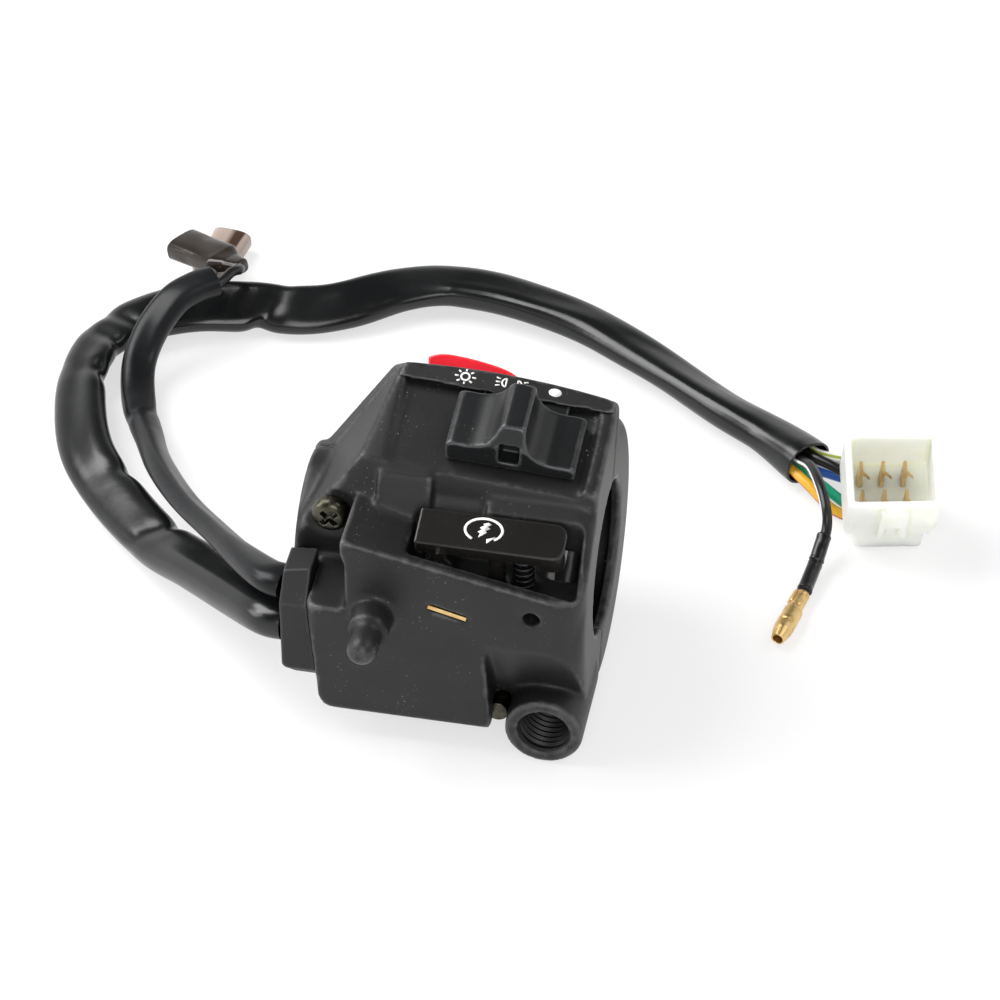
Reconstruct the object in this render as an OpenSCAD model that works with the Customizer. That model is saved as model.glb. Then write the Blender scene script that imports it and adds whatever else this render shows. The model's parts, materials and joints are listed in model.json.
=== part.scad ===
// Right-hand handlebar switch cluster: a two-piece clamp casing with a headlight slider,
// a starter thumb lever, an engine-stop rocker, a throttle cable boss and its wiring harness.
// X runs outboard along the bar, Y points away from the rider, Z is up. Lengths are in mm.

/* [Handlebar] */
// Diameter of the bar that the casing clamps
bar_d = 22.2; // [21.6:0.1:23]
// Diameter of the outboard mouth round the throttle tube
mouth_d = 28; // [26:0.5:30]
// Diameter of the chamber that the throttle drum turns in
drum_d = 41; // [38:0.5:42]
// Width of the throttle drum chamber
drum_w = 5.5; // [4.5:0.5:6]

/* [Casing] */
// Outboard end of the casing, measured from the middle of the clamp
outboard_x = 28; // [27.5:0.5:29.5]
// Inboard end of the casing, to the left of the middle of the clamp
inboard_l = 26; // [25:0.5:30]
// Radius of the barrel round the throttle drum
barrel_r = 25.5; // [24:0.5:26]
// Radius of the inboard clamp collar
collar_r = 14.5; // [13.5:0.5:15]
// Distance of the flat face on the rider's side from the bar axis
face_l = 27; // [26.5:0.5:29]
// Depth of that face below the bar axis
face_drop = 20; // [19.5:0.5:22]
// Wall of the rider's side box
wall = 2; // [1.6:0.1:2.2]
// Backward lean of the plane that splits the two halves
split_lean = 17; // [15:1:18]
// Diameter of the casing screws
screw_d = 4; // [3:0.5:4]

/* [Throttle cable boss] */
// Outer diameter of the cable boss
boss_d = 14; // [12.5:0.5:14]
// Thread diameter inside the cable boss
boss_thread_d = 9.3; // [8:0.1:10]
// How far the boss stands out past the flat face
boss_out = 0.6; // [0.2:0.2:5]

/* [Headlight slider] */
// Length of the slider knob
knob_l = 23; // [20:0.5:24]
// Depth of the slider knob
knob_w = 12.2; // [11:0.2:13]
// Height of the ridge in the middle of the knob
ridge_h = 9.4; // [8:0.2:11]
// Width of that ridge
ridge_w = 4.6; // [4:0.2:6]
// Thickness of the two wings of the knob
wing_h = 3; // [2.4:0.2:3.6]
// Height of its inboard wing
wing_in = 4.9; // [4:0.2:5.4]
// Travel of the slider inboard from the position shown
slide_travel = 9; // [6:0.5:9]
// Gap between sliding faces
slide_gap = 0.25; // [0.2:0.05:0.35]

/* [Starter lever] */
// Length of the starter lever's plate
lever_l = 26; // [22:0.5:27]
// Width of the starter lever's plate
lever_w = 7.2; // [6.4:0.2:7.4]
// Thickness of the starter lever's plate
lever_t = 3; // [2.4:0.2:3.2]
// Diameter of the lever's pivot pin
lever_pin_d = 2.5; // [2:0.1:3]
// Diameter of the plunger under the lever
plunger_d = 3; // [2.6:0.2:3.4]
// Wire of the lever's return spring
spring_wire = 0.6; // [0.5:0.1:0.7]

/* [Engine-stop rocker] */
// Length of the red rocker
rocker_l = 17.5; // [16:0.5:18.5]
// Width of the red rocker
rocker_w = 8; // [7.2:0.2:8.6]
// Tilt of the rocker to each side
rocker_tilt = 8; // [5:0.5:8]
// Diameter of the rocker's pin
rocker_pin_d = 2.4; // [2:0.1:2.8]

/* [Harness] */
// Width of the main sleeve, which lies flattened
sleeve_w = 10; // [8:0.5:10.5]
// Height of the main sleeve
sleeve_h = 7.6; // [6:0.2:8]
// Width of the brake lamp lead
lead_w = 6.8; // [5.5:0.1:7]
// Height of the brake lamp lead
lead_h = 5.4; // [4.6:0.2:5.6]
// Diameter of a single wire
wire_d = 2; // [1.6:0.1:2.2]
// Outer width of the connector shell
plug_w = 17.5; // [17:0.5:20]
// Outer depth of the connector shell
plug_t = 15.4; // [14.4:0.2:16.4]
// Length of the connector shell
plug_l = 18; // [17:0.5:20]
// Wall of the connector shell
plug_wall = 1.3; // [1:0.1:1.6]

/* [Hidden] */
$fn = 64;
eps = 0.02;
far = 90;
fit = 0.05;

// Ends and levels of the casing
inboard_x = -inboard_l;
face_y = -face_l;
floor_z = -barrel_r;
boss_x = outboard_x - 6.4;
boss_y = face_y - boss_out;
boss_drop = barrel_r - boss_d / 2;
boss_z = -boss_drop;
mouth_wall = 2;
drum_x = outboard_x - mouth_wall - drum_w;
barrel_x = drum_x - 11.5;
saddle_r = 19.5;
saddle_x = -14;
barrel_round = 3;

// Front view of the upper body: inboard facet, then the top that falls outboard
facet_low = [inboard_x + 1.6, 11.5];
top_left = [-10.5, 31.6];
top_fall = 3.8;

// Side view of the upper body: collar front, deck slope, icon strip and back slope
collar_y = -13;
strip_y = 5.6;
strip_rise = 21;
strip_bow_r = 114;
strip_mid = [6.5, 9.1];
back_low = [19.5, 19.5];
rear_low = [17.5, -2];
// Facet that takes off the rear inboard corner: a point on it and the way it faces
facet_at = [-12.9, 12.5, 27.6];
facet_way = [-0.68, 0.627, 0.381];
// And the same for the rear outboard corner
end_at = [outboard_x, 10, 20];
end_way = [0.94, 0.34, 0];

// Box on the rider's side: sloping rail along its top, pocket under the lever, notch and slot
box_left = -19.2;
box_draft = 1.8;
block_left = -14.4;
rail_left_z = 20;
rail_fall = 12.3;
box_round = 3;
front_round = 6;
rail_t = 2.6;
end_wall_t = 1.8;
pocket_x = -3.2;
pocket_z = 10;
tower_y = face_y + 11.6;
tower_x = -12.5;
valley_top = [-11.4, 23];
valley_low_z = 18;
notch_x = 10.9;
notch_z = 0;
notch_draft = 3.5;
notch_in = 8;
cavity_right = 9.5;
cavity_back = -6;
chamber_right = 15.6;
chamber_low = 1;
peg_at = [-8.6, 4.3];
collar_peg_d = 7.3;
collar_peg_l = 5;
peg_d = 5.6;
peg_l = 12;
sight_hole = [19.2, 7.4];
sight_hole_d = 2.9;
sight_hole_deep = 5;

screw_tip = face_y + 3.4;
rear_seat = 6;
// Casing screws, as [x, z, y of the head's seat, way in: 1 from the rider's side, -1 from the rear]
screws = [[-19, 14, -12.4, 1], [notch_x + 1.7, 1.4 - face_drop, rear_seat, -1]];
screw_head_d = 6.8;
screw_head_h = 2.6;
screw_l = 22;
screw_gap = 0.1;
access_d = 10.4;
access_low = 4;

// Deck that the slider runs on
deck_at = [12, -3, 26.3];
deck_pitch = 11;
deck_left = -21.4;
deck_right = 13.3;
lip_y = 8.8;
slot_h = 1.4;
lip_t = 0.5;
slot_back = 11.2;
// Lip of the icon strip as [y, z] at the deck's middle, and the height of the strip's bowed back edge
strip_lip = [deck_at[1] + lip_y * cos(deck_pitch) - (slot_h + lip_t) * sin(deck_pitch),
    deck_at[2] + lip_y * sin(deck_pitch) + (slot_h + lip_t) * cos(deck_pitch)];
strip_edge_z = strip_lip[1] + (deck_at[0] - strip_mid[0]) * tan(top_fall)
    + (strip_mid[1] - strip_lip[0]) * tan(strip_rise);
deck_t = 2.2;
tongue_l = 3.2;
stem_x = 0.5;
stem_w = 4;
stem_t = 3.6;
carriage_l = 7;
carriage_t = 4.2;
carriage_w = 11;
well_left = stem_x - carriage_l / 2 - slide_travel - 0.6;
well_right = stem_x + carriage_l / 2 + 0.6;
well_front = -8;
well_deep = 9.6;
board_t = 1.5;
bridge_t = 0.7;
stud_d = 1.8;
ball_d = 2.6;
window = [3.5, 3, 4.4];
scoop_r = 5.2;

// Starter lever
lever_x = -2;
lever_y = (face_y + rail_t + tower_y) / 2 - 0.6;
lever_at = [0, lever_y, 20.5];
lever_lean = 17;
lever_press = 8;
lever_pivot = [2, 13.2];
hub_d = lever_pin_d + 2.8;
hub_w = 5;
lip_h = 4.6;
lip_w = 4.5;
// Height of the underside of the lever's plate at a distance y from the bar axis
function under_lever(y) = lever_at[2] + (y - lever_at[1]) * tan(lever_lean) - lever_t / cos(lever_lean);
plunger_at = [12.2, lever_y - 0.9];
flange_d = 5.4;
flange_t = 0.8;
plunge = 1.5;
leaf_gap = 0.4;
contact_t = 0.5;
plunger_top = under_lever(plunger_at[1] - plunger_d / 2) - 0.3;
plunger_low = pocket_z - wall - flange_t - 0.3;
strip_at = [4.35, 6.4];
strip_lean = 15.4;
strip_t = 0.8;
slot_l = 7.2;
slot_t = 1.3;
spring_at = [16.8, lever_y - 0.1];
spring_r = 1.7;
spring_turns = 5;
spring_foot = 0.8;
spring_top = under_lever(spring_at[1] - spring_r - spring_wire / 2) - 0.2;

// Engine-stop rocker
stop_x = 1;
stop_slope = 45;
stop_down = 10.5;
stop_at = [stop_x, strip_mid[1] + stop_down * cos(stop_slope),
    strip_edge_z + (strip_mid[0] - stop_x) * tan(top_fall) - stop_down * sin(stop_slope)];
stop_pocket_deep = 6.7;
stop_gap = 0.55;
rocker_pin_z = -1.6;
rocker_low = -3.4;
rocker_crown = 1.6;
pin_reach = 1.7;

// Cable grommet
grommet_x = -26;
grommet_y = [face_y + 1.8, -collar_r - 0.3];
grommet_z = [-15.5, 7];
grommet_rim = 2;
flange_in = 1.2;

// Connector, leaning towards the rider's side
plug_at = [74.4, 40.8, floor_z];
plug_lean = 24;
plug_turn = 12;
blade = [0.6, 2.4, 7];
blade_pitch = 4.1;
blade_row = 2.9;
blade_shift = -1.3;
plug_floor = 7;
foot_in = 2.4;
foot_h = 6;
latch_w = 5.4;
latch_t = 0.9;

// Cord routes: points chosen by hand, from the exit to the far end
main_route = [[-26.05, -20, -5], [-29.5, -19, -5.6], [-37, -11.5, -9.4], [-48, 0, -15], [-58, 10, -19.5],
    [-69, 22, -21], [-78, 34, -21], [-83, 47, -21], [-85, 59, -21], [-83, 69, -21], [-77, 76, -21],
    [-68, 81, -21], [-58, 83, -21], [-48, 84, -21], [-39, 88, -21], [-30, 94, -21], [-22, 97, -21],
    [-13, 97, -21], [-4, 95, -21], [7, 91, -21], [18, 85, -21], [29, 78, -21], [40, 70, -21],
    [49, 64, -21], [57, 57, -21]];
lead_route = [[-26.05, -20.2, 2.9], [-29.5, -18.8, 2.6], [-36, -11, -1], [-44, 0, -6], [-53, 12, -10.5],
    [-61, 25, -14.5], [-67, 38, -18.5], [-72, 50, -21.5], [-74.6, 60, -20], [-73.7, 67, -16.6],
    [-70.7, 73, -13.4], [-67.3, 77, -12.6], [-64.1, 79.6, -12.6]];
// Wires: where each leaves the sleeve's end, the points between, and its place on the connector
wire_out = [[-1, -1.6], [1.2, -1.2], [3.4, -0.4], [-0.6, 1.6], [-2.6, 0.8]];
wire_mid = [[[64, 56.4, -23.2], [68.9, 55.2, -23.4], [71.9, 53.1, -23.6]],
    [[60.6, 52.6, -22.6], [65.4, 50, -24], [70.1, 47.8, -24.4]],
    [[58.2, 51.6, -22.2], [62.6, 48.2, -23.8], [66.7, 46.5, -24.4]],
    [[62, 55.2, -19.6], [65.6, 53.7, -20.4], [67.7, 52.4, -22]],
    [[66, 58.6, -21], [71.6, 57.3, -22], [75.6, 54.2, -23.4]]];
wire_in = [[0, 1], [0, -1], [-1, -1], [-1, 1], [1, 1]];
ground_out = [2.4, 2.6];
ground_mid = [[58.2, 51, -16.8], [60.6, 45, -15.8], [62.4, 40.4, -17], [63.1, 37.4, -19.6],
    [62.5, 33.8, -22], [61.7, 29.4, -23.4], [60.9, 23, -23.6]];
ground_end = ground_mid[len(ground_mid) - 1];
bullet_to = [58.1, 10.3];
crimp_spots = [[[62.9, 36.4, -20.4], [62.1, 31.4, -22.9]], [[61.8, 30, -23.2], [61, 23.8, -23.6]]];
// Leads from the end of the brake lamp lead: where each starts, the points between, and its boot
lead_wire_out = [1.4, -1.4];
lead_wire_mid = [[[-60.8, 83, -12.6], [-59.4, 85.4, -13.6]],
    [[-66.4, 84.2, -14.4], [-67.6, 85.9, -17.6], [-68.4, 87.7, -20.8]]];
boots = [[[-62.6, 88.6, -15.1], [-76.4, 97.8, -18.7]], [[-69.5, 91.5, -23], [-67.5, 106.3, -23]]];
boot = [8.2, 4.6];
boot_l = 15.4;
boot_wall = 0.8;
spade = [6, 2.2, 7];

// Short names for the frames that the pieces are drawn in
module along_x(x0, x1) {
    translate([x0, 0, 0]) rotate([90, 0, 90]) linear_extrude(x1 - x0) children();
}

module along_y(y0, y1) {
    translate([0, y1, 0]) rotate([90, 0, 0]) linear_extrude(y1 - y0) children();
}

module rod_x(x0, x1, d) {
    translate([x0, 0, 0]) rotate([0, 90, 0]) cylinder(h = x1 - x0, d = d);
}

module rod_y(at, y0, y1, d) {
    translate([at[0], y1, at[1]]) rotate([90, 0, 0]) cylinder(h = y1 - y0, d = d);
}

module deck_frame() {
    translate(deck_at) rotate([0, top_fall, 0]) rotate([deck_pitch, 0, 0]) children();
}

module stop_frame() {
    translate(stop_at) rotate([-stop_slope, 0, 0]) children();
}

module rocker_frame() {
    stop_frame() translate([0, 0, rocker_pin_z]) rotate([0, rocker_tilt, 0])
        translate([0, 0, -rocker_pin_z]) children();
}

module lever_frame() {
    translate(lever_at) rotate([lever_lean, 0, 0]) children();
}

module plug_frame() {
    translate(plug_at) rotate([0, 0, plug_turn]) rotate([plug_lean, 0, 0]) children();
}

module toward(p, q) {
    d = q - p;
    translate(p) rotate([0, acos(d[2] / norm(d)), atan2(d[1], d[0])]) children();
}

module box(low, high) {
    translate(low) cube(high - low);
}

// Corner arc from direction a0 to a1 round a centre, in n steps
function arc(c, r, a0, a1, n = 6) = [for (i = [0:n]) let (a = a0 + (a1 - a0) * i / n)
    c + r * [cos(a), sin(a)]];

// Rectangle with rounded corners, centred on the origin
function round_box(w, h, r) = concat(
    arc([w / 2 - r, h / 2 - r], r, 0, 90), arc([r - w / 2, h / 2 - r], r, 90, 180),
    arc([r - w / 2, r - h / 2], r, 180, 270), arc([w / 2 - r, r - h / 2], r, 270, 360));

// Smooth curve through hand-chosen points: point k plus a part s of the next step
function knot(p, k) = p[max(0, min(len(p) - 1, k))];
function curve_at(p, u) = let (k = min(floor(u), len(p) - 2), s = u - k,
    a = knot(p, k - 1), b = knot(p, k), c = knot(p, k + 1), d = knot(p, k + 2))
    0.5 * (2 * b + (c - a) * s + (2 * a - 5 * b + 4 * c - d) * s * s
    + (3 * b - a - 3 * c + d) * s * s * s);
function curve(p, rings) = [for (i = [0:rings - 1]) curve_at(p, i * (len(p) - 1) / (rings - 1))];
function unit(v) = v / norm(v);

// Tube of an oval section swept along a line of points, made of triangles
module tube(line, w, h, sides) {
    n = len(line);
    tangents = [for (i = [0:n - 1]) unit(line[min(i + 1, n - 1)] - line[max(i - 1, 0)])];
    points = [for (i = [0:n - 1]) let (side = unit(cross(tangents[i], [0, 0, 1])),
        up = cross(side, tangents[i])) for (j = [0:sides - 1])
        line[i] + side * w / 2 * cos(360 * j / sides) + up * h / 2 * sin(360 * j / sides)];
    last = (n - 1) * sides;
    faces = concat(
        [for (i = [0:n - 2], j = [0:sides - 1]) [i * sides + j, i * sides + (j + 1) % sides,
            (i + 1) * sides + (j + 1) % sides]],
        [for (i = [0:n - 2], j = [0:sides - 1]) [i * sides + j, (i + 1) * sides + (j + 1) % sides,
            (i + 1) * sides + j]],
        [for (j = [1:sides - 2]) [0, j + 1, j]],
        [for (j = [1:sides - 2]) [last, last + j, last + j + 1]]);
    polyhedron(points, faces);
}

// Compression spring along Z with flat-lying end turns
module coil(r, wire, z0, z1, turns) {
    rings = turns * 8 + 1;
    line = [for (i = [0:rings - 1]) let (a = 360 * turns * i / (rings - 1))
        [r * cos(a), r * sin(a), z0 + wire / 2 + (z1 - z0 - wire) * i / (rings - 1)]];
    echo(str("spring gap between turns ", (z1 - z0 - wire) / turns - wire));
    tube(line, wire, wire, 6);
}

// Casing
module upper_body() {
    intersection() {
        along_y(collar_y - 1, far) polygon([[inboard_x, -2], [inboard_x, 5], facet_low,
            top_left + 0.3 * (top_left - facet_low), [outboard_x, top_left[1] + 2], [outboard_x, -2]]);
        along_x(inboard_x, outboard_x) polygon([[collar_y, -2], [collar_y, 21], [-11.4, 26.4],
            [strip_y, 30.6], [strip_y, far], [back_low[0], far], back_low,
            [19, 13], rear_low]);
        // Back slope, bowed in plan, which falls outboard with the strip
        translate([strip_mid[0], strip_mid[1] - strip_bow_r, strip_edge_z]) rotate([0, top_fall, 0])
            translate([0, 0, -far]) cylinder(h = far, r1 = strip_bow_r + far / tan(stop_slope), r2 = strip_bow_r);
    }
}

// Block that fills all the space on the far side of a leaning plane
module beyond(at, way) {
    translate(at) rotate([0, acos(way[2] / norm(way)), atan2(way[1], way[0])])
        box([-far, -far, 0], [far, far, far]);
}

module tower() {
    along_x(tower_x, outboard_x - 1) polygon([[0, 0], [0, valley_top[1]], valley_top,
        [tower_y, valley_low_z], [tower_y, 0]]);
}

// Raised pad beside the valley, at the inboard end of the lever
module pillow() {
    along_x(tower_x + 2, pocket_x + 2.4) polygon([[0, 0], [0, valley_top[1]], valley_top + [0, 2.4],
        valley_top + [-1.6, 1.8], [tower_y - 0.8, valley_low_z + 0.4], [tower_y - 0.8, 0]]);
}

module barrel() {
    rotate([90, 0, 90]) rotate_extrude() polygon(concat([[0, barrel_x], [barrel_r, barrel_x]],
        arc([barrel_r - barrel_round, outboard_x - barrel_round], barrel_round, 0, 90), [[0, outboard_x]]));
}

module rider_box() {
    right = outboard_x;
    rail_right_z = rail_left_z - (right - block_left) * tan(rail_fall);
    intersection() {
        along_y(face_y, 0) polygon(concat(
            arc([box_left + box_round, box_round - face_drop], box_round, 180, 270),
            arc([right - box_round, box_round - face_drop], box_round, 270, 360),
            [[right, rail_right_z], [block_left, rail_left_z], [block_left, access_low],
            [box_left - box_draft, access_low]]));
        box_plan();
    }
}

module box_plan() {
    right = outboard_x;
    translate([0, 0, -far]) linear_extrude(2 * far) polygon(concat(
        [[right, 0], [box_left - box_draft, 0]],
        arc([box_left - box_draft + 2, face_y + 2], 2, 180, 270),
        arc([right - front_round, face_y + front_round], front_round, 270, 360)));
}

// Wall that closes the lever's pocket at the outboard end
module end_wall() {
    intersection() {
        along_x(outboard_x - end_wall_t, outboard_x) polygon([[face_y + 2, pocket_z], [tower_y, valley_low_z],
            [0, valley_low_z], [0, 0], [face_y + 2, 0]]);
        box_plan();
    }
}

module casing_envelope() {
    difference() {
        union() {
            difference() {
                upper_body();
                beyond(facet_at, facet_way);
                beyond(end_at, end_way);
                // Icon strip, which slants up from the lip to its back edge
                deck_frame() translate([0, lip_y, slot_h + lip_t]) rotate([strip_rise - deck_pitch, 0, 0])
                    box([-far, -0.3, 0], [far, far, far]);
            }
            tower();
            pillow();
            end_wall();
            rider_box();
            rod_x(inboard_x, saddle_x + 1, 2 * collar_r);
            rod_x(saddle_x, barrel_x + 1, 2 * saddle_r);
            barrel();
        }
        // Step of the deck, its open front and the lower rim at its outboard end
        deck_frame() box([deck_left, -20, 0], [deck_right, lip_y, 20]);
        deck_frame() box([deck_right - eps, -20, 1], [30, lip_y, 20]);
        // Pocket under the starter lever
        box([pocket_x, face_y + rail_t, pocket_z], [outboard_x - end_wall_t, tower_y, 40]);
        // Notch above and beside the cable boss
        intersection() {
            along_x(notch_x - 1, outboard_x + 1) polygon([[face_y - 1, notch_z], [face_y, notch_z],
                [face_y + notch_in, -face_drop], [face_y + notch_in, -far], [face_y - 1, -far]]);
            beyond([notch_x, 0, notch_z], [1, 0, tan(notch_draft)]);
        }
        // Way in for the screwdriver beside the box
        rod_y(screws[0], -far, screws[0][2], access_d);
        box([screws[0][0] - access_d / 2, -far, access_low],
            [screws[0][0] + access_d / 2, screws[0][2] - 0.6, screws[0][1]]);
    }
}

// What belongs to the rear half: all behind the leaning split, and the icon strip's lip
module rear_side() {
    rotate([-split_lean, 0, 0]) box([-far, 0, -far], [far, far, far]);
    deck_frame() box([-far, lip_y, slot_h], [far, far, far]);
}

module bores() {
    rod_x(inboard_x - 1, outboard_x - 1, bar_d);
    rod_x(drum_x, drum_x + drum_w, drum_d);
    rod_x(drum_x + 1, outboard_x + 1, mouth_d);
    rod_y(screws[0], screws[0][2] - eps, screws[0][2] + screw_l + 0.6, screw_d + 2 * screw_gap);
    rod_y(screws[1], screw_tip - 0.2, rear_seat + eps, screw_d + 2 * screw_gap);
    rod_y(screws[1], rear_seat, far, screw_head_d + 1);
    deck_frame() box([deck_left, lip_y - eps, 0], [deck_right - 0.6, slot_back, slot_h]);
}

module front_casing() {
    color("#333436") difference() {
        union() {
            difference() {
                casing_envelope();
                rear_side();
            }
            rod_y([boss_x, boss_z], boss_y, face_y + 17, boss_d);
            rod_y(peg_at, face_y - collar_peg_l, face_y + 1, collar_peg_d);
            peg();
        }
        bores();
        cable_passage();
        contact_space();
        slider_well();
        starter_holes();
    }
}

module peg() {
    r = peg_d / 2;
    translate([peg_at[0], face_y, peg_at[1]]) rotate([90, 0, 0]) rotate_extrude()
        polygon(concat([[0, 0], [r, 0]], arc([0, peg_l - r], r, 0, 90)));
}

module cable_passage() {
    rod_y([boss_x, boss_z], boss_y - 1, boss_y + 11, boss_thread_d);
    rod_y([boss_x, boss_z], boss_y, 0, 3.4);
}

// Space for the wires and the starter contacts inside the box
module contact_space() {
    low = wall - face_drop;
    top = pocket_z - wall;
    box([box_left + wall, face_y + wall, low], [block_left + wall + 1, cavity_back, access_low - wall]);
    box([block_left + wall, face_y + wall, low], [cavity_right, cavity_back, top]);
    box([cavity_right - 1, face_y + wall, chamber_low], [chamber_right, tower_y - 0.6, top]);
    grommet_window(0, 10);
}

module grommet_window(gap, reach) {
    r = grommet_rim + gap;
    box([box_left - reach, grommet_y[0] + r, grommet_z[0] + r],
        [box_left + wall + 0.1, grommet_y[1] - r, min(grommet_z[1], access_low) - r]);
}

module slider_well() {
    half = stem_w / 2 + 0.5;
    deck_frame() {
        box([stem_x - half - slide_travel, -stem_t / 2 - 0.4, -deck_t - 1], [stem_x + half, stem_t / 2 + 0.4, 1]);
        box([well_left, well_front, -well_deep - deck_t], [well_right, 15, -deck_t]);
        for (k = [0:2]) translate([stem_x - k * slide_travel / 2, well_front, -well_deep])
            cylinder(h = well_deep - deck_t, d = 1.6);
    }
}

module starter_holes() {
    rod_y(lever_pivot, face_y + 1, tower_y + 2.4, lever_pin_d + 0.04);
    translate([plunger_at[0], plunger_at[1], 0]) cylinder(h = pocket_z + 1, d = plunger_d + 0.6);
    translate([spring_at[0], spring_at[1], pocket_z - spring_foot])
        cylinder(h = 2, d = 2 * spring_r + spring_wire + 0.5);
    strip_frame() box([-slot_l / 2, face_y - 1, -slot_t / 2], [slot_l / 2, face_y + wall + 1, slot_t / 2]);
    rod_y(sight_hole, face_y - 1, face_y + sight_hole_deep, sight_hole_d);
}

module strip_frame() {
    translate([strip_at[0], 0, strip_at[1]]) rotate([0, strip_lean, 0]) children();
}

module rear_casing() {
    color("#2e2f31") difference() {
        intersection() {
            casing_envelope();
            rear_side();
        }
        bores();
        stop_frame() {
            box([-rocker_l / 2 - stop_gap, -rocker_w / 2 - stop_gap, -stop_pocket_deep],
                [rocker_l / 2 + stop_gap, rocker_w / 2 + stop_gap, 12]);
            translate([0, 0, rocker_pin_z]) rotate([90, 0, 0])
                cylinder(h = rocker_w + 2 * stop_gap + 2 * pin_reach, d = rocker_pin_d + 0.04, center = true);
        }
    }
}

module casing_screw(s, l) {
    color("#5b5a48") translate([s[0], s[2], s[1]]) rotate([90 * s[3], 0, 0]) {
        translate([0, 0, -l]) cylinder(h = l, d = screw_d);
        difference() {
            rotate_extrude() polygon(concat([[0, 0], [screw_head_d / 2, 0]],
                arc([screw_head_d / 2 - 1.6, screw_head_h - 1.6], 1.6, 0, 90), [[0, screw_head_h]]));
            for (a = [0, 90]) translate([0, 0, screw_head_h]) rotate([0, 0, 45 + a])
                cube([3.6, 0.9, 2.4], center = true);
        }
    }
}

module screw_inboard() {
    casing_screw(screws[0], screw_l);
}

module screw_outboard() {
    casing_screw(screws[1], rear_seat - screw_tip);
}

module cable_grommet() {
    low = grommet_z[0];
    top = grommet_z[1];
    x_low = box_left - box_draft * (low + face_drop) / (access_low + face_drop) - fit;
    x_top = box_left - box_draft - fit;
    y = grommet_y;
    color("#262728") {
        intersection() {
            along_y(y[0], y[1]) polygon([[grommet_x, low + 3], [grommet_x + 1.8, low], [x_low, low],
                [x_top, access_low], [x_top, top], [grommet_x, top - 0.6]]);
            along_x(grommet_x, x_low) polygon([[y[0], low + 2.5], [y[0] + 2, low], [y[1], low],
                [y[1], top], [y[0] + 4.5, top], [y[0], top - 5]]);
        }
        grommet_window(0.1, box_draft + 0.1);
        box([box_left + wall + 0.1, y[0] + 2.4, low + 1],
            [box_left + wall + 0.1 + flange_in, y[1] - 0.4, access_low - wall - 0.4]);
    }
}

// Headlight slider
module light_knob() {
    half = knob_l / 2;
    top = ridge_h - 0.8;
    foot = ridge_w / 2 + scoop_r;
    right = [for (p = arc([foot, wing_h + scoop_r], scoop_r, 180, 270)) [p[0], min(p[1], top)]];
    left = [for (p = arc([foot, wing_in + scoop_r], scoop_r, 180, 270)) [-p[0], min(p[1], top)]];
    color("#2b2c2e") deck_frame() {
        difference() {
            along_y(-knob_w / 2, knob_w / 2) polygon(concat([[-half, slide_gap], [half, slide_gap],
                [half, wing_h - 0.6], [half - 0.8, wing_h]], [for (i = [len(right) - 1:-1:0]) right[i]],
                arc([ridge_w / 2 - 0.8, top], 0.8, 0, 90, 3), arc([0.8 - ridge_w / 2, top], 0.8, 90, 180, 3),
                left, [[0.8 - half, wing_in], [-half, wing_in - 0.6]]));
            translate([-window[0] / 2 - 0.3, -knob_w / 2 - eps, 1.8]) cube(window);
            along_x(-ridge_w / 2 - 1.5, ridge_w / 2 + 1.5) polygon([[-knob_w / 2 - 1, wing_h + 2.6],
                [-knob_w / 2, wing_h + 2.6], [2.2 - knob_w / 2, ridge_h + 0.2], [-knob_w / 2 - 1, ridge_h + 0.2]]);
        }
        box([-7.8, knob_w / 2 - 1, slide_gap], [7.8, lip_y + tongue_l - 1.4, slot_h - slide_gap]);
        box([stem_x - stem_w / 2, -stem_t / 2, -deck_t - carriage_t + 1], [stem_x + stem_w / 2, stem_t / 2, 1]);
    }
}

module light_carriage() {
    top = -deck_t - 0.4;
    color("#d8cfb8") deck_frame() difference() {
        box([stem_x - carriage_l / 2, -carriage_w / 2 - 0.5, top - carriage_t],
            [stem_x + carriage_l / 2, carriage_w / 2 - 0.5, top]);
        box([stem_x - stem_w / 2 - fit, -stem_t / 2 - fit, -deck_t - carriage_t + 1 - fit],
            [stem_x + stem_w / 2 + fit, stem_t / 2 + fit, 1]);
        translate([stem_x, -carriage_w / 2 - 1, top - carriage_t / 2]) rotate([-90, 0, 0])
            cylinder(h = 4.4, d = ball_d + 0.2);
    }
}

module light_bridge() {
    top = -deck_t - 0.4 - carriage_t;
    color("#d9a95a") deck_frame() difference() {
        box([stem_x - 3, -4.6, top - bridge_t], [stem_x + 3, 3.6, top]);
        box([stem_x - 1, -3.4, top - 2], [stem_x + 1, 2.4, top + 1]);
    }
}

module light_detent_ball() {
    z = -deck_t - 0.4 - carriage_t / 2;
    color("#c8cacc") deck_frame() translate([stem_x, well_front + ball_d / 2 + 0.15, z]) sphere(d = ball_d);
}

module light_detent_spring() {
    z = -deck_t - 0.4 - carriage_t / 2;
    y0 = well_front + ball_d + 0.2;
    y1 = -carriage_w / 2 + 3.3;
    color("#b4b7ba") deck_frame() translate([stem_x, 0, z]) rotate([-90, 0, 0])
        coil(0.85, 0.35, y0, y1, 3);
}

module light_board() {
    color("#6b4a2b") deck_frame() difference() {
        box([well_left + 0.2, well_front + 0.2, -well_deep - deck_t + 0.1],
            [well_right - 0.2, 4.5, -well_deep - deck_t + 0.1 + board_t]);
        light_stud_holes(stud_d + 2 * fit);
    }
}

module light_stud_holes(d) {
    for (k = [0:2], y = [-4, 3]) translate([stem_x - k * slide_travel / 2, y, -well_deep - deck_t + 0.1])
        cylinder(h = board_t + 0.25, d = d);
}

module light_studs() {
    color("#d9a95a") deck_frame() light_stud_holes(stud_d);
}

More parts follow.
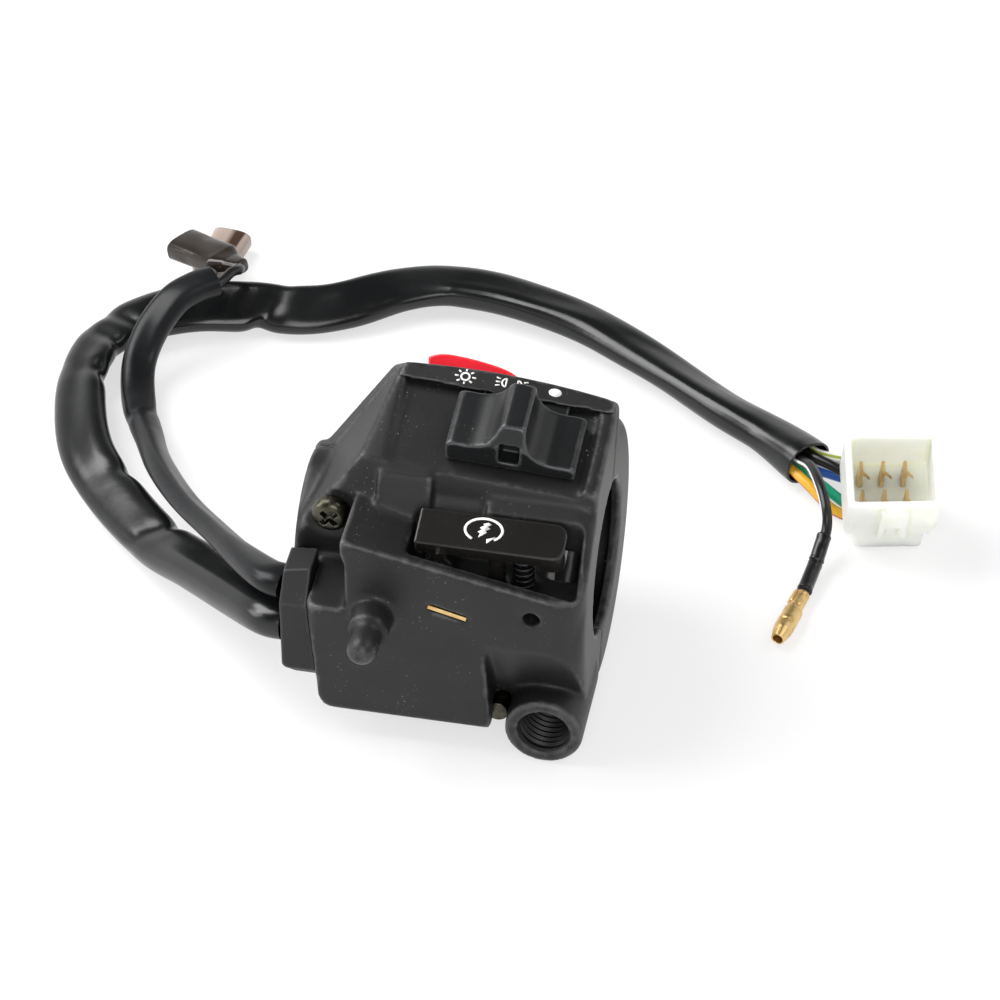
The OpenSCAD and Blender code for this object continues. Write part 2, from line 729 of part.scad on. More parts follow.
// Starter lever
module starter_lever() {
    r = 2.2;
    right = lever_x + lever_l;
    half = lever_w / 2;
    plan = concat([[lever_x, -half]], arc([right - r, r - half], r, 270, 360), arc([right - r, half - r], r, 0, 90),
        [[lever_x, half]]);
    color("#1c1a19") difference() {
        union() {
            lever_frame() translate([0, 0, -lever_t]) linear_extrude(lever_t) polygon(plan);
            lever_frame() intersection() {
                translate([0, 0, -lip_h]) linear_extrude(lip_h) polygon(plan);
                box([right - lip_w, -half, -lip_h], [right, half - 1.6, 0]);
            }
            rod_y(lever_pivot, lever_at[1] - hub_w / 2, lever_at[1] + hub_w / 2, hub_d);
            box([lever_pivot[0] - 1.6, lever_at[1] - hub_w / 2, lever_pivot[1]],
                [lever_pivot[0] + 1.6, lever_at[1] + hub_w / 2, lever_at[2] - lever_t + 0.4]);
        }
        rod_y(lever_pivot, -far, 0, lever_pin_d + 2 * fit);
    }
}

module starter_pin() {
    color("#b9bcc0") rod_y(lever_pivot, face_y + 1.1, tower_y + 2.3, lever_pin_d);
}

module starter_plunger() {
    color("#e4dcc6") translate([plunger_at[0], plunger_at[1], 0]) {
        translate([0, 0, plunger_low]) cylinder(h = plunger_top - plunger_low, d = plunger_d);
        translate([0, 0, plunger_low]) cylinder(h = flange_t, d = flange_d);
    }
}

module starter_contact() {
    color("#d9a95a") translate([plunger_at[0], plunger_at[1], plunger_low - contact_t])
        cylinder(h = contact_t, d = flange_d - 1);
}

module starter_spring() {
    color("#b4b7ba") translate([spring_at[0], spring_at[1], 0])
        coil(spring_r, spring_wire, pocket_z - spring_foot + 0.05, spring_top, spring_turns);
}

module starter_strip() {
    leaf = plunger_low - contact_t - plunge - leaf_gap;
    y0 = face_y + wall + 0.1;
    color("#d9a95a") {
        strip_frame() box([-slot_l / 2 + 0.1, face_y + 0.3, -strip_t / 2], [slot_l / 2 - 0.1, y0 + 0.8, strip_t / 2]);
        box([strip_at[0] - 2, y0, leaf - strip_t], [strip_at[0], y0 + 0.8, strip_at[1]]);
        box([strip_at[0] - 2, y0, leaf - strip_t], [plunger_at[0] + 2, plunger_at[1] + 2.4, leaf]);
    }
}

// Engine-stop rocker
module stop_rocker() {
    half = rocker_l / 2;
    color("#e2182a") difference() {
        rocker_frame() along_y(-rocker_w / 2, rocker_w / 2) polygon(concat(
            [[-half + 1.2, rocker_low], [half - 1.2, rocker_low], [half, 0.6]],
            [for (i = [-8:8]) [-i * (half - 0.3) / 8, rocker_crown + 0.5 - 0.6 * pow(i / 8, 2) - 0.9 * pow(i / 8, 6)]],
            [[-half, 0.6]]));
        stop_frame() translate([0, 0, rocker_pin_z]) rotate([90, 0, 0])
            cylinder(h = rocker_w + 2, d = rocker_pin_d + 2 * fit, center = true);
    }
}

module stop_pin() {
    color("#b9bcc0") stop_frame() translate([0, 0, rocker_pin_z]) rotate([90, 0, 0])
        cylinder(h = rocker_w + 2 * stop_gap + 2 * pin_reach - 0.2, d = rocker_pin_d, center = true);
}

module stop_bridge() {
    color("#d9a95a") rocker_frame() box([-6.2, -1.8, rocker_low - 0.5], [6.2, 1.8, rocker_low]);
}

module stop_base() {
    z = 0.1 - stop_pocket_deep;
    color("#6b4a2b") stop_frame() difference() {
        box([-rocker_l / 2 - 0.2, -rocker_w / 2 - 0.2, z], [rocker_l / 2 + 0.2, rocker_w / 2 + 0.2, z + 1]);
        stop_stud(1.6 + 2 * fit);
    }
}

module stop_stud(d) {
    for (x = [-5.6, 5.6]) translate([x, 0, 0.1 - stop_pocket_deep]) cylinder(h = 1.5, d = d);
}

module stop_contacts() {
    color("#d9a95a") stop_frame() stop_stud(1.6);
}

// Harness
module main_sleeve() {
    color("#202122") tube(curve(main_route, 56), sleeve_w, sleeve_h, 10);
}

module brake_sleeve() {
    color("#242526") tube(curve(lead_route, 40), lead_w, lead_h, 10);
}

// Place on the end face of a cord, given across and up from its middle
function cord_end(p, at) = let (n = len(p), way = unit(p[n - 1] - p[n - 2]), side = unit(cross(way, [0, 0, 1])))
    p[n - 1] + at[0] * side + at[1] * cross(side, way) + fit * way;

// Point of the connector's own frame, in the common frame
function plug_point(p) = let (y = p[1] * cos(plug_lean) - p[2] * sin(plug_lean))
    plug_at + [p[0] * cos(plug_turn) - y * sin(plug_turn), p[0] * sin(plug_turn) + y * cos(plug_turn),
    p[1] * sin(plug_lean) + p[2] * cos(plug_lean)];

module wire(k) {
    at = [wire_in[k][0] * blade_pitch + blade_shift, plug_t / 2 + wire_in[k][1] * blade_row, -fit];
    tube(curve(concat([cord_end(main_route, wire_out[k])], wire_mid[k],
        [plug_point(at - [0, 0, 1]), plug_point(at)]), 15), wire_d, wire_d, 8);
}

module wire_yellow() {
    color("#d9ac3a") wire(2);
}

module wire_green() {
    color("#3fae8a") wire(1);
}

module wire_blue() {
    color("#2f6fc0") wire(0);
}

module wire_black() {
    color("#1b1b1c") wire(3);
}

module wire_white() {
    color("#e6e6e0") wire(4);
}

module ground_wire() {
    color("#1b1b1c") tube(curve(concat([cord_end(main_route, ground_out)], ground_mid), 20), wire_d, wire_d, 8);
}

module ground_crimps() {
    color("#141415") for (c = crimp_spots) toward(c[0], c[1]) difference() {
        cylinder(h = norm(c[1] - c[0]), d = wire_d + 1.2);
        translate([0, 0, -1]) cylinder(h = far, d = wire_d + 0.4);
    }
}

module bullet_terminal() {
    end = ground_end;
    color("#d9a95a") toward(end, [bullet_to[0], bullet_to[1], end[2]]) rotate_extrude() polygon([[0, 0], [1.1, 0],
        [1.1, 2.6], [1.35, 3], [1.35, 3.8], [1, 4.2], [1, 5], [1.85, 5.6], [1.85, 9], [1.5, 9.4], [1.85, 10],
        [1.85, 12], [1.2, 13], [0, 13.2]]);
}

module connector_shell() {
    w = plug_w;
    t = plug_t;
    color("#eef1ea") plug_frame() difference() {
        union() {
            intersection() {
                union() {
                    translate([0, t / 2, foot_h]) linear_extrude(plug_l - foot_h) polygon(round_box(w, t, 1.4));
                    translate([0, t / 2, 0]) linear_extrude(foot_h + 1)
                        polygon(round_box(w - 2 * foot_in, t - 0.4, 0.8));
                }
                along_y(-1, t + 1) polygon([[-w, -1], [-w, far], [w / 2, far], [w / 2, foot_h + 5],
                    [w / 2 - foot_in, 0.6], [w / 2 - foot_in, -1]]);
            }
            latch();
        }
        translate([0, t / 2, plug_floor]) linear_extrude(plug_l)
            polygon(round_box(w - 2 * plug_wall, t - 2 * plug_wall, 0.5));
        blade_places() translate([0, 0, plug_floor - 4]) cube([blade[0] + 0.1, blade[1] + 0.1, 10], center = true);
    }
}

// Latch on the near wall: a bar over the rim, shoulders and two legs
module latch() {
    box([-latch_w / 3, -latch_t, plug_l - 2.2], [latch_w / 3, plug_wall + 0.9, plug_l]);
    box([-latch_w / 2, -latch_t, plug_l - 7.6], [latch_w / 2, 0.4, plug_l - 1]);
    for (m = [0, 1]) mirror([m, 0, 0])
        box([latch_w / 4, -latch_t, plug_l - 12], [latch_w / 2, 0.4, plug_l - 7]);
}

module blade_places() {
    for (x = [-1:1], y = [-1, 1]) translate([x * blade_pitch + blade_shift, plug_t / 2 + y * blade_row, 0]) children();
}

module connector_blades() {
    color("#d9a95a") plug_frame() blade_places() translate([0, 0, plug_floor - 3]) {
        translate([-blade[0] / 2, -blade[1] / 2, 0]) cube([blade[0], blade[1], blade[2] + 2]);
    }
}

module lead_wires() {
    color("#18181a") for (k = [0, 1]) {
        b = boots[k];
        way = unit(b[1] - b[0]);
        tube(curve(concat([cord_end(lead_route, [lead_wire_out[k], 0])], lead_wire_mid[k],
            [b[0] - 1.6 * way, b[0] - fit * way]), 13), wire_d, wire_d, 8);
    }
}

module spade_boots() {
    color("#3a3430") for (b = boots) toward(b[0], b[1]) difference() {
        linear_extrude(boot_l) polygon(round_box(boot[1], boot[0], 1.6));
        translate([0, 0, 2]) linear_extrude(boot_l) polygon(round_box(boot[1] - 2 * boot_wall, boot[0] - 2 * boot_wall, 1));
    }
}

module spade_terminals() {
    color("#c9b27a") for (b = boots) toward(b[0], b[1]) {
        translate([0, 0, 2 + spade[2] / 2]) cube([1.2, 3, spade[2]], center = true);
        translate([0, 0, 2 + spade[2] + 2.6]) cube([spade[1], spade[0], 5.4], center = true);
    }
}

front_casing();
rear_casing();
screw_inboard();
screw_outboard();
cable_grommet();
light_knob();
light_carriage();
light_bridge();
light_detent_ball();
light_detent_spring();
light_board();
light_studs();
starter_lever();
starter_pin();
starter_plunger();
starter_contact();
starter_spring();
starter_strip();
stop_rocker();
stop_pin();
stop_bridge();
stop_base();
stop_contacts();
main_sleeve();
brake_sleeve();
wire_yellow();
wire_green();
wire_blue();
wire_black();
wire_white();
ground_wire();
ground_crimps();
bullet_terminal();
lead_wires();
connector_shell();
connector_blades();
spade_boots();
spade_terminals();
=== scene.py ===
# %% [markdown]
# # Handlebar switch cluster
# A right-hand switch and throttle housing lies on a pale table with its harness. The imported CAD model
# gives every size. This file adds what the solids leave out: rounded edges, moulded and printed
# surfaces, wrinkled sleeves and wires. Lengths are in millimetres unless a comment says otherwise.

# %% Load the frame
import bmesh
import bpy
import json
import numpy as np
from math import radians, sin, cos, pi
from mathutils import Matrix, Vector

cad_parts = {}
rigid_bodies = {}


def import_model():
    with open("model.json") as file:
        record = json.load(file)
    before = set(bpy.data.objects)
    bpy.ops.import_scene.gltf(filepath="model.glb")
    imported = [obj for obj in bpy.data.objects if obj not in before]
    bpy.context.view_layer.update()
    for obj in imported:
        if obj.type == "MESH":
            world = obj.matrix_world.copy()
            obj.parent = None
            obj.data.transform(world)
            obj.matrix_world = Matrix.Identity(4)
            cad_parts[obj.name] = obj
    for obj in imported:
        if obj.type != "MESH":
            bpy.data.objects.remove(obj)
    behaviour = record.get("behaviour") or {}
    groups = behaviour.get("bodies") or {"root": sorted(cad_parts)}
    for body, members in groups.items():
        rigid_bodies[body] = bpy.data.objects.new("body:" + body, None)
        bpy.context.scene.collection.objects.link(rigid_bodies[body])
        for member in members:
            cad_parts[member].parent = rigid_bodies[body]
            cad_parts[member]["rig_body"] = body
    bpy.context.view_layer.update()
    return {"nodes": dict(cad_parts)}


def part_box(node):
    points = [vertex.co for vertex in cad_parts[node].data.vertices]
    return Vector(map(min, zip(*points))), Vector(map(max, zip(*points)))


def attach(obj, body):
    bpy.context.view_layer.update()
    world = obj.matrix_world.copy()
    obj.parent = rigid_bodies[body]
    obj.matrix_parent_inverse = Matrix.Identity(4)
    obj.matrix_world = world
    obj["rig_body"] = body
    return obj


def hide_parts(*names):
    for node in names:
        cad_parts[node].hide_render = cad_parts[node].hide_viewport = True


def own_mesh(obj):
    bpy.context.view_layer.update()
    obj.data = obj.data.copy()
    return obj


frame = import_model()
MM = 0.001
FLOOR = -25.5

# %% [markdown]
# ## Camera
# The photograph looks down at 41 degrees from 11 degrees to the outboard side. The distance and the
# lens were worked out from the bore and the corners of the casing, so the render lands on the photo.

# %% Camera
AZIMUTH, ELEVATION, DISTANCE, PIXELS_PER_MM = radians(11), radians(41), 768.0, 5.6
# Pixels from the frame's origin to the middle of the picture, pixels across it, and the sensor's width
AIM_RIGHT, AIM_UP, PICTURE, SENSOR = 46.9, 37.4, 1000, 36


def facing(right, up, back, place):
    """Matrix of a camera or a lamp that stands at a place and looks the other way from back."""
    rows = zip(np.stack([right, up, back], 1), place)
    return Matrix([[*row, p * MM] for row, p in rows] + [[0, 0, 0, 1]])


back = np.array([sin(AZIMUTH) * cos(ELEVATION), -cos(AZIMUTH) * cos(ELEVATION), sin(ELEVATION)])
right = np.array([cos(AZIMUTH), sin(AZIMUTH), 0.0])
up = np.cross(back, right)
eye = right * AIM_RIGHT / PIXELS_PER_MM + up * AIM_UP / PIXELS_PER_MM + back * DISTANCE
camera = bpy.data.objects.new("camera", bpy.data.cameras.new("camera"))
bpy.context.collection.objects.link(camera)
camera.matrix_world = facing(right, up, back, eye)
camera.data.sensor_width = SENSOR
camera.data.lens = SENSOR * PIXELS_PER_MM * DISTANCE / PICTURE
camera.data.clip_start, camera.data.clip_end = 0.01, 20
bpy.context.scene.camera = camera
print("camera at", np.round(eye, 1), "mm, lens", round(camera.data.lens, 1), "mm")

# %% [markdown]
# ## Materials
# Small helpers each add one shader node and hand back its output. Colours are written as the hex values
# seen on a screen and turned to linear light. Patterns use object coordinates, in metres, so a scale is
# 1000 divided by the size of one spot in millimetres. Two attributes that the pieces carry steer wear, dust and
# painted light:
# "edge" is above 0 on an outer edge and below 0 in an inner corner, and "stripe" marks a wire's stripe.

# %% Material helpers
def linear(hex_colour):
    """sRGB hex to linear light: below 0.04045 divide by 12.92, above it raise to the power 2.4."""
    value = np.array([int(hex_colour[i:i + 2], 16) / 255 for i in (1, 3, 5)])
    value = np.where(value <= 0.04045, value / 12.92, ((value + 0.055) / 1.055) ** 2.4)
    return (*[float(v) for v in value], 1.0)


def add(tree, kind, links=(), **settings):
    """Adds a node: settings are its properties, and links are (input, value or another node's output)."""
    node = tree.nodes.new(kind)
    for key, value in settings.items():
        setattr(node, key, value)
    for socket, source in links:
        if isinstance(source, bpy.types.NodeSocket):
            tree.links.new(source, node.inputs[socket])
        else:
            node.inputs[socket].default_value = source
    return node


def noise(tree, place, spot, detail=2.0, rough=0.5):
    """Cloudy pattern between 0 and 1, with spots of that many millimetres."""
    return add(tree, "ShaderNodeTexNoise", [("Vector", place), ("Scale", 1000 / spot), ("Detail", detail),
                                            ("Roughness", rough)]).outputs["Fac"]


def ramp(tree, value, low, high, first=0.0, last=1.0):
    """Turns low to high into first to last, and holds the value there outside."""
    return add(tree, "ShaderNodeMapRange", [("Value", value), ("From Min", low), ("From Max", high),
                                            ("To Min", first), ("To Max", last)]).outputs[0]


def blend(tree, share, first, second):
    """Mixes two colours by a share of the second. Each is a hex value or another node's output."""
    pair = [linear(colour) if isinstance(colour, str) else colour for colour in (first, second)]
    return add(tree, "ShaderNodeMix", [("Factor", share), (6, pair[0]), (7, pair[1])],
               data_type="RGBA").outputs[2]


def maths(tree, operation, first, second):
    """One step of arithmetic on two values."""
    return add(tree, "ShaderNodeMath", [(0, first), (1, second)], operation=operation).outputs[0]


def carried(tree, name):
    """An attribute of the piece, one number for each point."""
    return add(tree, "ShaderNodeAttribute", attribute_name=name).outputs["Fac"]


def bump(tree, height, depth):
    """Relief of that many millimetres where the height goes from 0 to 1."""
    return add(tree, "ShaderNodeBump", [("Height", height), ("Distance", depth * MM)]).outputs[0]


def connect(tree, node, **sources):
    """Links outputs to a node's inputs of those names, with _ for a space."""
    for socket, source in sources.items():
        tree.links.new(source, node.inputs[socket.replace("_", " ")])


def finish_of(name, colour, roughness, **sockets):
    """A material with one principled shader, returned with its tree, shader and object coordinates."""
    material = bpy.data.materials.new(name)
    material.use_nodes = True
    tree = material.node_tree
    shader = tree.nodes["Principled BSDF"]
    shader.inputs["Base Color"].default_value = linear(colour)
    shader.inputs["Roughness"].default_value = roughness
    for key, value in sockets.items():
        shader.inputs[key.replace("_", " ")].default_value = value
    place = add(tree, "ShaderNodeTexCoord").outputs["Object"]
    return material, tree, shader, place


# %% [markdown]
# ### Moulded plastics
# The casing is glass-filled nylon from a spark-eroded mould: a fine matte grain, a slow cloudiness, pale
# dust specks, most of them in inner corners, and outer edges that are lighter and smoother, partly from
# rubbing wear and partly as a painted highlight. Knob and lever are acetal from a polished mould, so they take
# the same recipe with less grain.

# %% Moulded plastics
CLOUD, PATCH, SPECK = 9.0, 2.4, 0.9
DUST_COLOUR, RUBBED_GLOSS = "#a5a39e", 0.12


def moulded(name, colour, pale, rubbed_and_highlit, roughness, shine, grain, depth, dust):
    """Colour clouds, outer edges lighter in patches from rubbing wear and a painted highlight, dust specks, and
    a grain that stands up a little.
    """
    material, tree, shader, place = finish_of(name, colour, roughness, Specular_IOR_Level=shine)
    cloud = noise(tree, place, CLOUD, 4.0)
    body = blend(tree, ramp(tree, cloud, 0.35, 0.7), colour, pale)
    edge = carried(tree, "edge")
    broken = maths(tree, "ADD", noise(tree, place, PATCH, 5.0, 0.7), edge)
    # Lighter outer edges: partly rubbing wear, partly a painted highlight for the light that rounded edges
    # catch
    wear_and_highlight = ramp(tree, broken, 0.85, 1.35, 0.0, 0.7)
    handled_and_highlit = blend(tree, wear_and_highlight, body, rubbed_and_highlit)
    speck = add(tree, "ShaderNodeTexVoronoi", [("Vector", place), ("Scale", 1000 / SPECK)])
    grit = ramp(tree, speck.outputs["Distance"], 0.16, 0.08)
    # A speck shows faintly on an open face, and best in a corner that lies inside a cloud
    corner = ramp(tree, edge, 0.1, -0.5, 0.16, 1.0)
    cloudy = ramp(tree, cloud, 0.5, 0.66, 0.07, 1.0)
    lodged = maths(tree, "MULTIPLY", maths(tree, "MULTIPLY", corner, cloudy), dust)
    dusty = maths(tree, "MULTIPLY", grit, lodged)
    connect(tree, shader, Base_Color=blend(tree, dusty, handled_and_highlit, DUST_COLOUR),
            Roughness=ramp(tree, wear_and_highlight, 0.0, 1.0, roughness, roughness - RUBBED_GLOSS),
            Normal=bump(tree, noise(tree, place, grain, 2.0, 0.7), depth))
    return material


# Matte charcoal with a fine tooth: the spark-eroded face of the mould
housing = moulded("glass-filled nylon, textured", "#19191a", "#1f1f20", "#5c5c5d", 0.44, 0.32, 0.55, 0.03, 1.5)
# Satin black, smoother than the casing, with bright lines along its edges: thumb wear and a painted highlight
knob_black = moulded("acetal, satin black", "#151617", "#1a1b1c", "#4a4b4c", 0.32, 0.36, 0.8, 0.008, 1.2)
# Deep gloss black, with almost no grain
lever_black = moulded("acetal, gloss black", "#151412", "#191816", "#2c2a28", 0.22, 0.28, 1.4, 0.004, 0.3)
# Bright red, glossy, even
rocker_red = moulded("ABS, signal red", "#dc1226", "#e41a2c", "#ec4048", 0.26, 0.4, 2.0, 0.006, 0.0)
# Cream, waxy, even
natural_nylon = moulded("nylon, natural cream", "#d8cfb8", "#dcd4c0", "#e2dccb", 0.45, 0.5, 0.9, 0.01, 0.0)
# Brown sheet with a fine weave of paper
laminate = moulded("phenolic laminate", "#6b4a2b", "#74512f", "#84633f", 0.5, 0.5, 0.6, 0.01, 0.0)
# Dull grey-black rubber
grommet_rubber = moulded("nitrile rubber, moulded", "#1a1a1b", "#1f1f20", "#353536", 0.5, 0.3, 0.9, 0.015, 0.5)
print("moulded plastics: 7")

# %% [markdown]
# ### Metals and ink
# Stamped brass, chromated screws and plain steel share one recipe: full metallic, tarnish spots and fine
# streaks that change the gloss. The icons are pad-printed in white ink, which is a little uneven.

# %% Metals and ink
TARNISH, INK_GAP = 2.2, 0.7


def metal(name, colour, dark, roughness, streak):
    """Tarnish spots darken the colour, and streaks make the roughness and the surface uneven."""
    material, tree, shader, place = finish_of(name, colour, roughness, Metallic=1.0)
    tarnish = ramp(tree, noise(tree, place, TARNISH, 5.0), 0.45, 0.72)
    streaks = noise(tree, place, streak, 4.0)
    connect(tree, shader, Base_Color=blend(tree, tarnish, colour, dark),
            Roughness=ramp(tree, streaks, 0.3, 0.7, roughness - 0.08, roughness + 0.12),
            Normal=bump(tree, streaks, 0.01))
    return material


# Yellow, bright where it was bent
brass = metal("brass, stamped", "#e6c68c", "#c8a464", 0.38, 0.5)
# Dark olive, oily shine
screw_steel = metal("steel, olive chromate", "#57554a", "#35342a", 0.3, 0.4)
# Plain grey shine
bright_steel = metal("steel, ground", "#b9bcc0", "#9a9da1", 0.28, 0.3)
# Dark grey, phosphated
spring_steel = metal("spring wire, phosphated", "#3a3b3c", "#242526", 0.42, 0.3)
# Pale, with the brass showing through
tin = metal("tin-plated brass", "#c9b992", "#a5956d", 0.32, 0.5)
# Flat white, thin in places
white_ink, ink_tree, ink_shader, ink_place = finish_of("pad-printed white ink", "#ecebe8", 0.55)
ink_thin = ramp(ink_tree, noise(ink_tree, ink_place, INK_GAP, 3.0), 0.4, 0.75)
connect(ink_tree, ink_shader, Base_Color=blend(ink_tree, ink_thin, "#f0efec", "#d3d1cc"))
print("metals: 5, printed ink: 1")

# %% [markdown]
# ### Flexible plastics
# Sleeving, boots and wire covers are plasticised vinyl: smooth and glossy, with slow waves in the skin and
# a bloom that dulls it in patches. A wire's second colour is a stripe along it.

# %% Flexible plastics
BLOOM, WAVE = 16.0, 3.4


def soft_vinyl(name, colour, pale, roughness, depth, stripe=None, **sockets):
    """A bloom in patches changes colour and gloss, the skin waves, and a stripe may be laid on."""
    material, tree, shader, place = finish_of(name, colour, roughness, **sockets)
    bloom = ramp(tree, noise(tree, place, BLOOM, 3.0), 0.4, 0.72)
    colours = blend(tree, bloom, colour, pale)
    if stripe:
        colours = blend(tree, ramp(tree, carried(tree, "stripe"), 0.35, 0.65), colours, stripe)
    connect(tree, shader, Base_Color=colours,
            Roughness=ramp(tree, bloom, 0.0, 1.0, roughness, roughness + 0.1),
            Normal=bump(tree, noise(tree, place, WAVE, 3.0, 0.55), depth))
    return material


# Glossy black tube, whose folds throw broad grey lights
sleeve_vinyl = soft_vinyl("vinyl sleeving, black", "#0d0e0f", "#131415", 0.21, 0.05, Specular_IOR_Level=0.5)
# The same, duller
lead_vinyl = soft_vinyl("vinyl sleeving, charcoal", "#111214", "#18191b", 0.3, 0.05, Specular_IOR_Level=0.25)
# Smoky brown, lets a little light through
boot_vinyl = soft_vinyl("vinyl boot, smoked", "#241d17", "#2c241d", 0.16, 0.04, Transmission_Weight=0.1)
# Clear, slightly pink, with its dark lead showing as a stripe
clear_vinyl = soft_vinyl("vinyl boot, clear", "#b09f94", "#c2b3a8", 0.18, 0.04, "#4a382e",
                         Transmission_Weight=0.2)
# Tight black tube, wrinkled and shiny
shrink_vinyl = soft_vinyl("heat-shrink, black", "#0c0c0d", "#131314", 0.24, 0.06)
# Wire covers in their plain or striped colours
wire_finish = {name: soft_vinyl("vinyl wire, " + name, colour, pale, 0.3, 0.015, stripe)
               for name, colour, pale, stripe in (
                   ("yellow", "#d9a52c", "#e0b345", "#b5452a"), ("green", "#1f9c78", "#39ad88", "#157a5c"),
                   ("blue", "#1f57b4", "#2f69c2", "#e2e6ea"), ("black", "#0d0d0e", "#141415", None),
                   ("white", "#e6e6e0", "#dcdcd6", "#8f9a35"), ("ground", "#0f0f10", "#161617", "#dcdce0"))}
# Milky white, waxy; light enters 7 mm deep, and its inner corners are painted darker and yellow-green: painted
# shade tinted like light through the nylon
connector_nylon, nylon_tree, nylon_shader, nylon_place = finish_of(
    "nylon, natural white", "#e9ece3", 0.36, Subsurface_Weight=1.0, Subsurface_Radius=(1.0, 1.0, 0.8),
    Subsurface_Scale=0.007)
nylon_tone = ramp(nylon_tree, noise(nylon_tree, nylon_place, 6.0), 0.35, 0.7)
nylon_body = blend(nylon_tree, nylon_tone, "#e9ece3", "#e2e6da")
# Painted shade: inner corners turn darker and yellow-green, as light passing through the nylon would colour
# them
nylon_corner_shade = ramp(nylon_tree, carried(nylon_tree, "edge"), -0.05, -0.5, 0.0, 0.6)
connect(nylon_tree, nylon_shader, Base_Color=blend(nylon_tree, nylon_corner_shade, nylon_body, "#dfe3c8"),
        Normal=bump(nylon_tree, noise(nylon_tree, nylon_place, 1.2), 0.008))
print("flexible plastics:", 5 + len(wire_finish), "and the connector's nylon")

# %% [markdown]
# ## Table and light
# The photo is a product shot on white: light from all round, a large soft light high on the left and weaker
# ones in front and at both sides. The table and the world show white to the camera, and the table keeps the
# shadow. The ceiling is dim, so that black plastic shows the lamps as clear lights and stays black between.

# %% Table and light
WHITE = (1, 1, 1, 1)
# Strength of the light from all round, of the ceiling in reflections, and the table's share of plain white
AMBIENT, CEILING, TABLE_GLOW = 0.36, 0.1, 0.64
# The table's reach and the gap under the part, in metres
TABLE_REACH, TABLE_GAP = 4, 0.0002
# Place, target, width and watts of each soft light
LAMPS = {"key softbox": ((-430, 90, 560), (0, 20, 0), 480, 5.5),
         "front fill": ((120, -620, 420), (0, 0, 0), 420, 2.6),
         "left fill": ((-620, -120, 300), (-20, 20, 0), 320, 1.4),
         "right fill": ((460, 120, 560), (60, 30, 0), 420, 1.3)}
# A direction that none of them looks along
ASIDE = (0.03, 1.0, 0.05)
for name, (place, target, width, watts) in LAMPS.items():
    lamp = bpy.data.objects.new(name, bpy.data.lights.new(name, "AREA"))
    lamp.data.size, lamp.data.energy = width * MM, watts
    bpy.context.collection.objects.link(lamp)
    toward = np.subtract(place, target)
    toward = toward / np.linalg.norm(toward)
    side = np.cross(ASIDE, toward)
    side = side / np.linalg.norm(side)
    lamp.matrix_world = facing(side, np.cross(toward, side), toward, place)


def seen_directly(tree):
    """1 for rays from the camera, from a mirror-like surface or through glass, and 0 for the light itself."""
    path = add(tree, "ShaderNodeLightPath").outputs
    first = maths(tree, "MAXIMUM", path["Is Camera Ray"], path["Is Glossy Ray"])
    return maths(tree, "MAXIMUM", first, path["Is Transmission Ray"])


world = bpy.data.worlds.new("white studio")
bpy.context.scene.world = world
world.use_nodes = True
sky = world.node_tree
shown = sky.nodes["Background"]
shown.inputs["Color"].default_value = WHITE
skyward = add(sky, "ShaderNodeSeparateXYZ", [(0, add(sky, "ShaderNodeTexCoord").outputs["Generated"])])
connect(sky, shown, Strength=ramp(sky, skyward.outputs["Z"], 0.2, 0.6, 1.0, CEILING))
ambient = add(sky, "ShaderNodeBackground", [("Color", WHITE), ("Strength", AMBIENT)])
sky_mix = add(sky, "ShaderNodeMixShader", [("Fac", seen_directly(sky)), (1, ambient.outputs[0]),
                                           (2, shown.outputs[0])])
connect(sky, sky.nodes["World Output"], Surface=sky_mix.outputs[0])

table_paint, paint_tree, paint_shader, _ = finish_of("white table board", "#f4f4f4", 0.8)
glow = add(paint_tree, "ShaderNodeEmission", [("Color", WHITE), ("Strength", 1.0)])
share = maths(paint_tree, "MULTIPLY", seen_directly(paint_tree), TABLE_GLOW)
paint_mix = add(paint_tree, "ShaderNodeMixShader", [("Fac", share), (1, paint_shader.outputs[0]),
                                                    (2, glow.outputs[0])])
connect(paint_tree, paint_tree.nodes["Material Output"], Surface=paint_mix.outputs[0])
table_mesh = bpy.data.meshes.new("table")
table_mesh.from_pydata([(x * TABLE_REACH, y * TABLE_REACH, FLOOR * MM - TABLE_GAP)
                        for x, y in ((-1, -1), (1, -1), (1, 1), (-1, 1))], [], [(0, 1, 2, 3)])
table_mesh.materials.append(table_paint)
table = bpy.data.objects.new("table", table_mesh)
bpy.context.collection.objects.link(table)
bpy.context.scene.view_settings.view_transform = "Standard"
print("lights:", len(LAMPS), "table at", FLOOR, "mm")

# %% [markdown]
# ## Surfaces from grids
# Sleeves, wires, boots, thread and signs are grids of points: one parameter runs along the piece and one
# runs round it. The helpers below join the grid's neighbours with four-sided faces, put the mesh into the
# scene with its faces turned outwards, and carry a section along a curve.

# %% Grid helpers
def grid_faces(rows, columns, ring=False):
    """Faces between neighbours of a rows by columns grid whose columns close; ring closes its rows too."""
    i, j = np.meshgrid(np.arange(rows if ring else rows - 1), np.arange(columns), indexing="ij")
    n, k = (i + 1) % rows, (j + 1) % columns
    corners = [i * columns + j, n * columns + j, n * columns + k, i * columns + k]
    return np.stack(corners, -1).reshape(-1, 4).tolist()


def put(name, points, faces, finish, body):
    """Makes a smooth-shaded mesh with its faces outward, and lets it ride on a CAD body."""
    mesh = bpy.data.meshes.new(name)
    mesh.from_pydata((np.asarray(points, float) * MM).tolist(), [], faces)
    turned = bmesh.new()
    turned.from_mesh(mesh)
    bmesh.ops.recalc_face_normals(turned, faces=turned.faces)
    turned.to_mesh(mesh)
    turned.free()
    mesh.materials.append(finish)
    mesh.polygons.foreach_set("use_smooth", np.ones(len(mesh.polygons), bool))
    piece = bpy.data.objects.new(name, mesh)
    bpy.context.collection.objects.link(piece)
    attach(piece, body)
    return piece


def mark(piece, name, values):
    """Stores one number for each point of a piece, which its material reads."""
    layer = piece.data.attributes.new(name, "FLOAT", "POINT")
    layer.data.foreach_set("value", np.asarray(values, np.float32))


